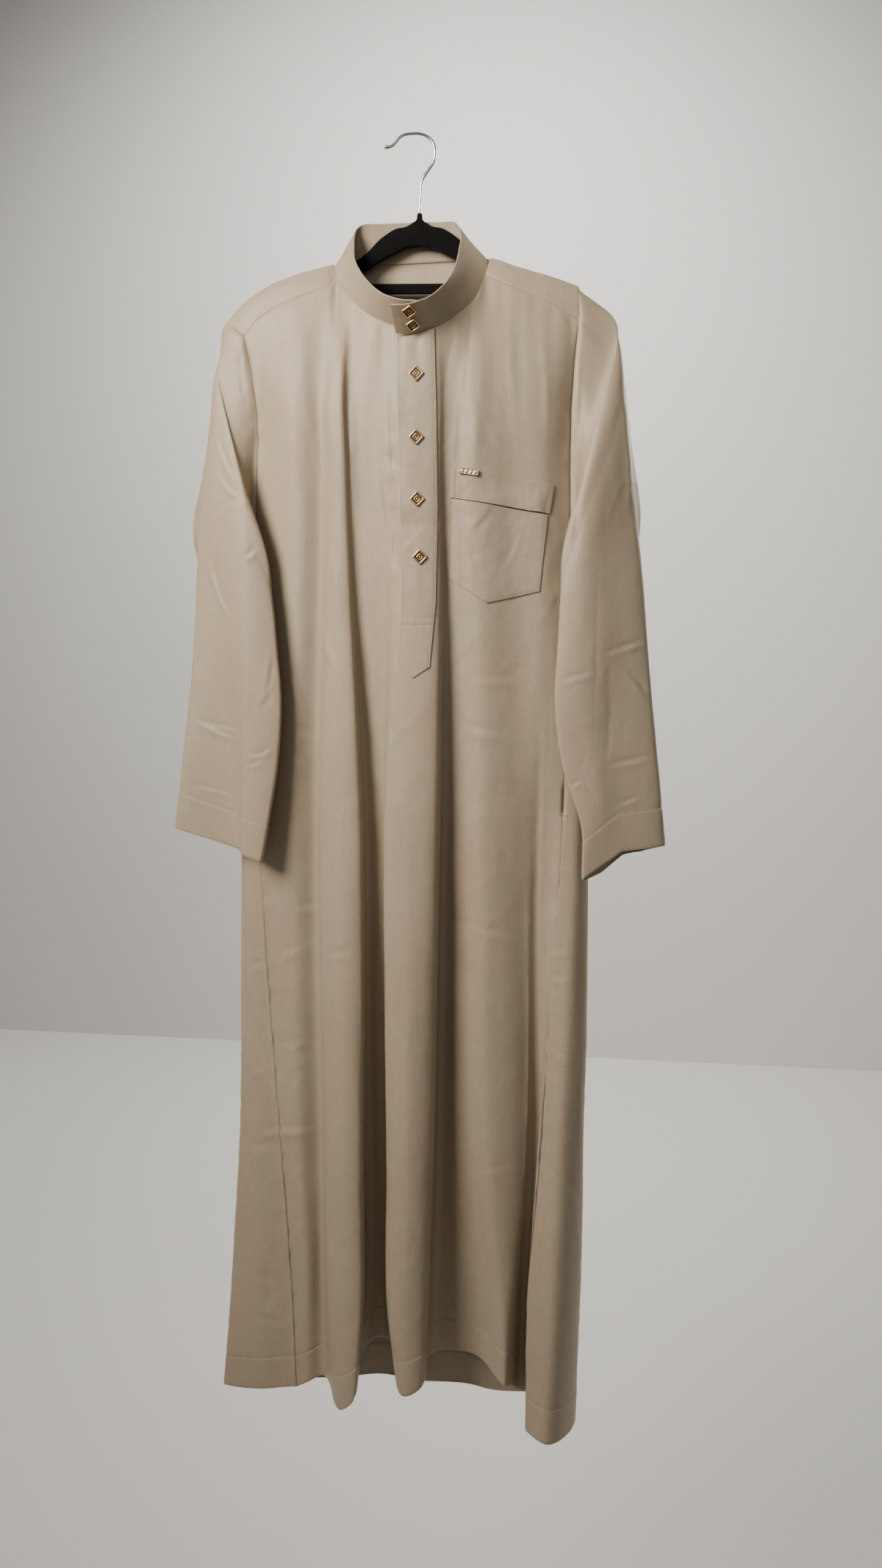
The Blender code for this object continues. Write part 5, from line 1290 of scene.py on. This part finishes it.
stud = {"half": 8.2 / math.sqrt(2) + 1.0, "seat": 8.2,
        "profile": (              # share of the half width, height
            (0.9, 0.0), (0.97, 0.15), (1.0, 0.5), (1.0, 1.8), (0.985, 2.15), (0.955, 2.45), (0.91, 2.66),
            (0.86, 2.72), (0.81, 2.66), (0.77, 2.45), (0.745, 2.1), (0.73, 1.45), (0.7, 1.35), (0.5, 1.35),
            (0.47, 1.45), (0.46, 1.85), (0.44, 2.0), (0.38, 2.0), (0.36, 1.85), (0.345, 1.45), (0.32, 1.38),
            (0.17, 1.38), (0.15, 1.6), (0.12, 1.85), (0.07, 1.95), (0.03, 1.98)),
        "recessShade": (10, 11, 12, 13, 18, 19, 20),      # the rings of faces that get the painted shade of the recesses
        "onPlacket": ((13, -294), (13, -368), (14, -441), (17, -510)), "onCollar": ((8, -228), (10, -239.5))}

studRings = []
for share, height in stud["profile"]:
    size = share * stud["half"]
    rounded = size * (0.28 if share > 0.25 else 0.9)        # the boss in the middle is nearly round
    studRings.append((roundedBox(size, size, rounded, turn=45), height))
placketTree, collarTree, bandTree = treeOf(placketOuter), treeOf(collarOuter), treeOf(bandOuter)
for kind, tree, places, reach, lift in (("placket", placketTree, stud["onPlacket"], stud["seat"], 0.2),
                                        ("collar", collarTree, stud["onCollar"], stud["seat"] * 0.6, 0.5)):
    for number, (x, z) in enumerate(places, start=1):
        spot, out = seatOn(tree, x, z, reach, reach)
        verts, faces = stacked(studRings, spot + out * lift, out)
        name = f"{kind}Button{number}"
        mesh = meshFrom(name, np.array(verts) * mm, faces)
        addPiece(name, mesh, [gold, recessShade], f"{kind}_button_{number}")
        # faces in the recess rings take the painted shade of the recesses; the rest are gold
        for count, face in enumerate(mesh.polygons):
            face.material_index = int(count // len(studRings[0][0]) in stud["recessShade"])

pin = {"centre": (75.5, -408.5), "half": (12.4, 3.7), "tilt": 9.0, "bead": 2.15, "apart": 5.5, "beads": 4,
       "profile": ((0.3, 0.0), (0.0, 0.3), (0.0, 1.9), (0.12, 2.2), (0.35, 2.4),      # inset, height
                   (0.8, 2.4), (1.0, 2.25), (1.15, 1.3), (1.4, 1.2))}


def ball(centre, radius, wide=20, high=12):
    verts = [np.array(centre) + radius * np.array((0, 0, 1.0))]
    for k in range(1, high):
        for c in range(wide):
            a, b = math.pi * k / high, 2 * math.pi * c / wide
            spoke = (math.sin(a) * math.cos(b), math.sin(a) * math.sin(b), math.cos(a))
            verts.append(np.array(centre) + radius * np.array(spoke))
    verts.append(np.array(centre) - radius * np.array((0, 0, 1.0)))
    faces = [(0, 1 + c, 1 + (c + 1) % wide) for c in range(wide)]
    for k in range(high - 2):
        faces += [(1 + k * wide + c, 1 + (k + 1) * wide + c, 1 + (k + 1) * wide + (c + 1) % wide,
                   1 + k * wide + (c + 1) % wide) for c in range(wide)]
    last = 1 + (high - 1) * wide
    faces += [(last - wide + c, last, last - wide + (c + 1) % wide) for c in range(wide)]
    return verts, faces


halfX, halfY = pin["half"]
spot, out = seatOn(bandTree, *pin["centre"], halfX, 1.5, -math.tan(math.radians(pin["tilt"])))
rings = [(roundedBox(halfX - inset, halfY - inset, max(0.9 - inset, 0.15)), height)
         for inset, height in pin["profile"]]
parts = [stacked(rings, spot + out * 0.2, out, turn=-pin["tilt"])]
barFaces = len(parts[0][1])
along = Vector((1, 0, -math.tan(math.radians(pin["tilt"]))))
along = (along - Vector(out) * along.dot(Vector(out))).normalized()
for k in range(pin["beads"]):
    reach = (k - (pin["beads"] - 1) / 2) * pin["apart"]
    parts.append(ball(spot + out * (0.2 + pin["bead"] * 0.95) + np.array(along) * reach, pin["bead"]))
verts, faces = joined(parts)
pinMesh = meshFrom("pocketPin", verts * mm, faces)
addPiece("pocketPin", pinMesh, [gold, pearl], "pocket_pin")
for face in pinMesh.polygons[barFaces:]:
    face.material_index = 1
print("studs and pin set")

# --- hanger
hanger = {"middle": 8.4, "neck": -99.0, "lean": -2.06, "thick": 6.0, "round": 2.6,
          "arm": (              # how far from the middle, height of the upper and lower edge
              (0, -91, -130), (2.6, -92, -130), (3.6, -98.5, -130.2), (9, -102.5, -131), (16, -106.5, -132),
              (30, -109.5, -138.5), (49, -121.5, -148), (64, -136.5, -158), (80, -147.5, -163.5),
              (105, -156.3, -167), (150, -168.5, -172.5)),
          "tip": (              # outer edge, inner edge
              (190, -184, 153, -174), (200, -190, 155, -175), (205, -196, 156, -177),
              (200, -202, 155, -179), (180, -198, 152, -181)),
          "bar": (-180.0, 6.2)}     # height of its middle, half its height
middle, half = hanger["bar"]
right = [((d, top), (d, low)) for d, top, low in hanger["arm"]]
right += [((ox, oz), (ix, iz)) for ox, oz, ix, iz in hanger["tip"]]
right += [((d, middle - half), (d, middle + half)) for d in (140, 70, 0)]
ring = np.array(right + [((-o[0], o[1]), (-i[0], i[1])) for o, i in right[1:-1]][::-1], float)
steps = np.arange(0, len(ring), 0.2)
outerLine, innerLine = (spline(ring[:, k], steps, closed=True) for k in (0, 1))
angle = math.radians(hanger["lean"])
verts, sides = [], 20
for outside, inside in zip(outerLine, innerLine):
    inward = inside - outside
    inward /= np.linalg.norm(inward)
    for k in range(sides):
        turn = 2 * math.pi * (k + 0.5) / sides
        near = outside if math.cos(turn) < 0 else inside
        flatSpot = near + inward * hanger["round"] * (math.cos(turn) - math.copysign(1, math.cos(turn)))
        x, z = flatSpot[0], flatSpot[1] - hanger["neck"]
        verts.append((hanger["middle"] + x * math.cos(angle) - z * math.sin(angle),
                      hanger["thick"] / 2 * math.copysign(abs(math.sin(turn)) ** 0.7, math.sin(turn)),
                      hanger["neck"] + x * math.sin(angle) + z * math.cos(angle)))
body = meshFrom("hangerBody", np.array(verts) * mm, hoops(len(steps), sides, ends=False))
addPiece("hangerBody", body, [flock], "hanger_body")

hook = {"wire": 1.75, "tip": 2.36, "sides": 24,
        "route": (            # x, z from the stem round to the tip
            (8.3, -90.6), (9.5, -72), (12, -52), (18, -43), (24, -35), (27.2, -26), (27, -17), (24, -8.5),
            (17, -2), (8, 1.2), (0, 1.75), (-10, 1), (-17, -2.6), (-22, -8.2), (-27, -11.6), (-33, -12))}
route = spline(hook["route"], np.linspace(0, len(hook["route"]) - 1, 150))
run = np.concatenate(([0], np.cumsum(np.linalg.norm(np.diff(route, axis=0), axis=1))))
ahead = np.gradient(route, axis=0)
ahead /= np.linalg.norm(ahead, axis=1, keepdims=True)
beads = np.array([math.sin(math.pi / 2 * k / 8) for k in range(1, 9)])[::-1]
route = np.concatenate((route, route[-1] + ahead[-1] * hook["tip"] * np.sqrt(1 - beads ** 2)[:, None]))
ahead = np.concatenate((ahead, np.repeat(ahead[-1:], 8, axis=0)))
size = np.concatenate((hook["wire"] + (hook["tip"] - hook["wire"]) * smoothStep((run - run[-1] + 5) / 3),
                       hook["tip"] * beads))
verts = []
for (x, z), (dx, dz), radius in zip(route, ahead, size):
    for k in range(hook["sides"]):
        turn = 2 * math.pi * k / hook["sides"]
        side = radius * math.cos(turn)
        verts.append((x + dz * side, radius * math.sin(turn), z - dx * side))
wire = meshFrom("hangerHook", np.array(verts) * mm, hoops(len(route), hook["sides"]))
addPiece("hangerHook", wire, [chrome], "hanger_hook")
print("hanger made")


# --- sewing: lines a set distance inside an edge, with a stitch at each pitch along them
def sewingLine(outer, out, side, inset, first=0.0, last=1.0):
    if side in ("left", "right"):
        outer, out = outer.transpose(1, 0, 2), out.transpose(1, 0, 2)
    if side in ("bottom", "right"):
        outer, out = outer[::-1], out[::-1]
    run, count = travel(outer, 0), outer.shape[1]
    return np.array([[np.interp(inset, run[:, c], (outer + 0.12 * out)[:, c, k]) for k in range(3)]
                     for c in range(int(first * (count - 1)), int(last * (count - 1)) + 1)])


def levelLine(outer, out, z):
    return np.array([[np.interp(-z, -outer[:, c, 2], (outer + 0.12 * out)[:, c, k]) for k in range(3)]
                     for c in range(outer.shape[1])])[3:-3]


def stretch(name, row, columns, off=0.2):
    return dressed[name][row, columns] + off * outward[name][row, columns]


lines = [
    sewingLine(placketOuter, placketOut, "right", placket["stitch"], 0.02, 0.99),
    sewingLine(placketOuter, placketOut, "left", placket["openStitch"], 0.02, 0.97),
    *(levelLine(placketOuter, placketOut, z) for z in placket["crossed"]),
    *(sewingLine(pocketOuter, pocketOut, side, pocket["stitch"], 0.03, 0.97)
      for side in ("left", "right", "bottom")),
    *(sewingLine(bandOuter, bandOut, side, band["stitch"], 0.08, 0.95) for side in ("left", "right")),
    sewingLine(yokeDressed, yokeOut, "bottom", 2.2),
    *(sewingLine(dressed[name], outward[name], "bottom", hem["depth"]) for name in order),
]
for z in mouth["tack"]:
    row = int(np.argmin(np.abs(dressed["front"][:, -1, 2] - z)))
    tack = (stretch("front", row, slice(-6, -1)), stretch("goreRight", row - rowsAbove, slice(1, 6)))
    lines.append(np.concatenate(tack) + (0, 0, z - mouth["tack"][1]))
for outer, out in sleeves.values():
    line = sewingLine(outer, out, "bottom", hem["cuff"])
    lines.append(np.concatenate((line, line[:1])))

stitchSize = {"pitch": 2.9, "width": 0.42, "share": 0.78}
verts = np.concatenate(lines) * mm
ends = np.cumsum([len(line) for line in lines])
edgesDrawn = [(k, k + 1) for k in range(len(verts) - 1) if k + 1 not in set(ends)]
guide = bpy.data.meshes.new("stitchGuide")
guide.from_pydata(verts.tolist(), edgesDrawn, [])
stitches = bpy.data.objects.new("stitches", guide)
bpy.context.scene.collection.objects.link(stitches)

sewing = bpy.data.node_groups.new("runOfStitches", "GeometryNodeTree")
sewing.interface.new_socket("Geometry", in_out="INPUT", socket_type="NodeSocketGeometry")
for label, kind in (("Pitch", "NodeSocketFloat"), ("Thread Width", "NodeSocketFloat"),
                    ("Stitch Length", "NodeSocketFloat"), ("Thread", "NodeSocketMaterial")):
    sewing.interface.new_socket(label, in_out="INPUT", socket_type=kind)
sewing.interface.new_socket("Geometry", in_out="OUTPUT", socket_type="NodeSocketGeometry")
given = addNode(sewing, "NodeGroupInput")
curve = addNode(sewing, "GeometryNodeMeshToCurve", {}, {"Mesh": given.outputs["Geometry"]})
spaced = addNode(sewing, "GeometryNodeResampleCurve", {"mode": "LENGTH"},
                 {"Curve": curve.outputs["Curve"], "Length": given.outputs["Pitch"]})
along = addNode(sewing, "GeometryNodeInputTangent")
turned = addNode(sewing, "FunctionNodeAlignRotationToVector", {"axis": "X"}, {"Vector": along.outputs[0]})
bead = addNode(sewing, "GeometryNodeMeshUVSphere", {"Segments": 6, "Rings": 3, "Radius": 0.5})
shape = addNode(sewing, "ShaderNodeCombineXYZ", {}, {"X": given.outputs["Stitch Length"],
                                                     "Y": given.outputs["Thread Width"],
                                                     "Z": given.outputs["Thread Width"]})
placed = addNode(sewing, "GeometryNodeInstanceOnPoints", {},
                 {"Points": spaced.outputs["Curve"], "Instance": bead.outputs["Mesh"],
                  "Rotation": turned.outputs["Rotation"], "Scale": shape.outputs["Vector"]})
real = addNode(sewing, "GeometryNodeRealizeInstances", {}, {"Geometry": placed.outputs["Instances"]})
coloured = addNode(sewing, "GeometryNodeSetMaterial", {}, {"Geometry": real.outputs["Geometry"],
                                                           "Material": given.outputs["Thread"]})
addNode(sewing, "NodeGroupOutput", {}, {"Geometry": coloured.outputs["Geometry"]})
modifier = stitches.modifiers.new("stitches", "NODES")
modifier.node_group = sewing
values = {"Pitch": stitchSize["pitch"] * mm, "Thread Width": stitchSize["width"] * mm,
          "Stitch Length": stitchSize["pitch"] * stitchSize["share"] * mm, "Thread": thread}
for socket in sewing.interface.items_tree:
    if socket.in_out == "INPUT" and socket.name in values:
        modifier[socket.identifier] = values[socket.name]
view = bpy.context.evaluated_depsgraph_get()
made = bpy.data.meshes.new_from_object(stitches.evaluated_get(view))
stitches.modifiers.clear()
stitches.data = made
made.shade_smooth()
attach(stitches, "root")
print("made stitches", len(made.polygons), "faces")


# --- floor, wall and light; metres
stage = {"floor": -2.5, "wall": 3.8, "top": 4.0, "half": 6,
         "paint": "#c4c2be", "sky": "#d2d0cd", "bright": 0.34,
         "lights": {            # place, aim, size, power, colour, spread
             "ceilingLight": ((-1.3, -1.6, 0.6), (-0.05, 0, -0.25), 1.1, 26.5, "#fff6ec", 80),
             "roomFill": ((0.7, -2.5, 0.35), (0, 0, -0.3), 1.6, 6, "#fff8f0", 180),
             "backFill": ((1.9, 1.9, 0.7), (0, 0.05, -0.7), 1.0, 16, "#fff8f0", 80),
             "wallWash": ((-0.3, 1.4, 2.4), (-0.3, 3.7, -0.9), 2.0, 165, "#fffdf8", 124)}}
paint = newFinish("palePaint", {"Base Color": linear(stage["paint"]), "Roughness": 0.85})[0]
half, far, low, high = stage["half"], stage["wall"], stage["floor"], stage["top"]
for name, (y, z), (endY, endZ) in (("floor", (-half, low), (far, low)), ("farWall", (far, low), (far, high))):
    mesh = bpy.data.meshes.new(name)
    corners = [(-half, y, z), (half, y, z), (half, endY, endZ), (-half, endY, endZ)]
    mesh.from_pydata(corners, [], [(0, 1, 2, 3)])
    mesh.materials.append(paint)
    plane = bpy.data.objects.new(name, mesh)
    bpy.context.scene.collection.objects.link(plane)

world = bpy.data.worlds.new("studio")
bpy.context.scene.world = world
world.use_nodes = True
sky = world.node_tree.nodes["Background"].inputs
sky["Color"].default_value, sky["Strength"].default_value = linear(stage["sky"]), stage["bright"]
for name, (place, aim, size, power, colour, spread) in stage["lights"].items():
    lamp = bpy.data.lights.new(name, "AREA")
    lamp.size, lamp.energy, lamp.color, lamp.spread = size, power, linear(colour)[:3], math.radians(spread)
    item = bpy.data.objects.new(name, lamp)
    item.location = place
    item.rotation_euler = (Vector(aim) - Vector(place)).to_track_quat("-Z", "Y").to_euler()
    bpy.context.scene.collection.objects.link(item)
print("stage lit")
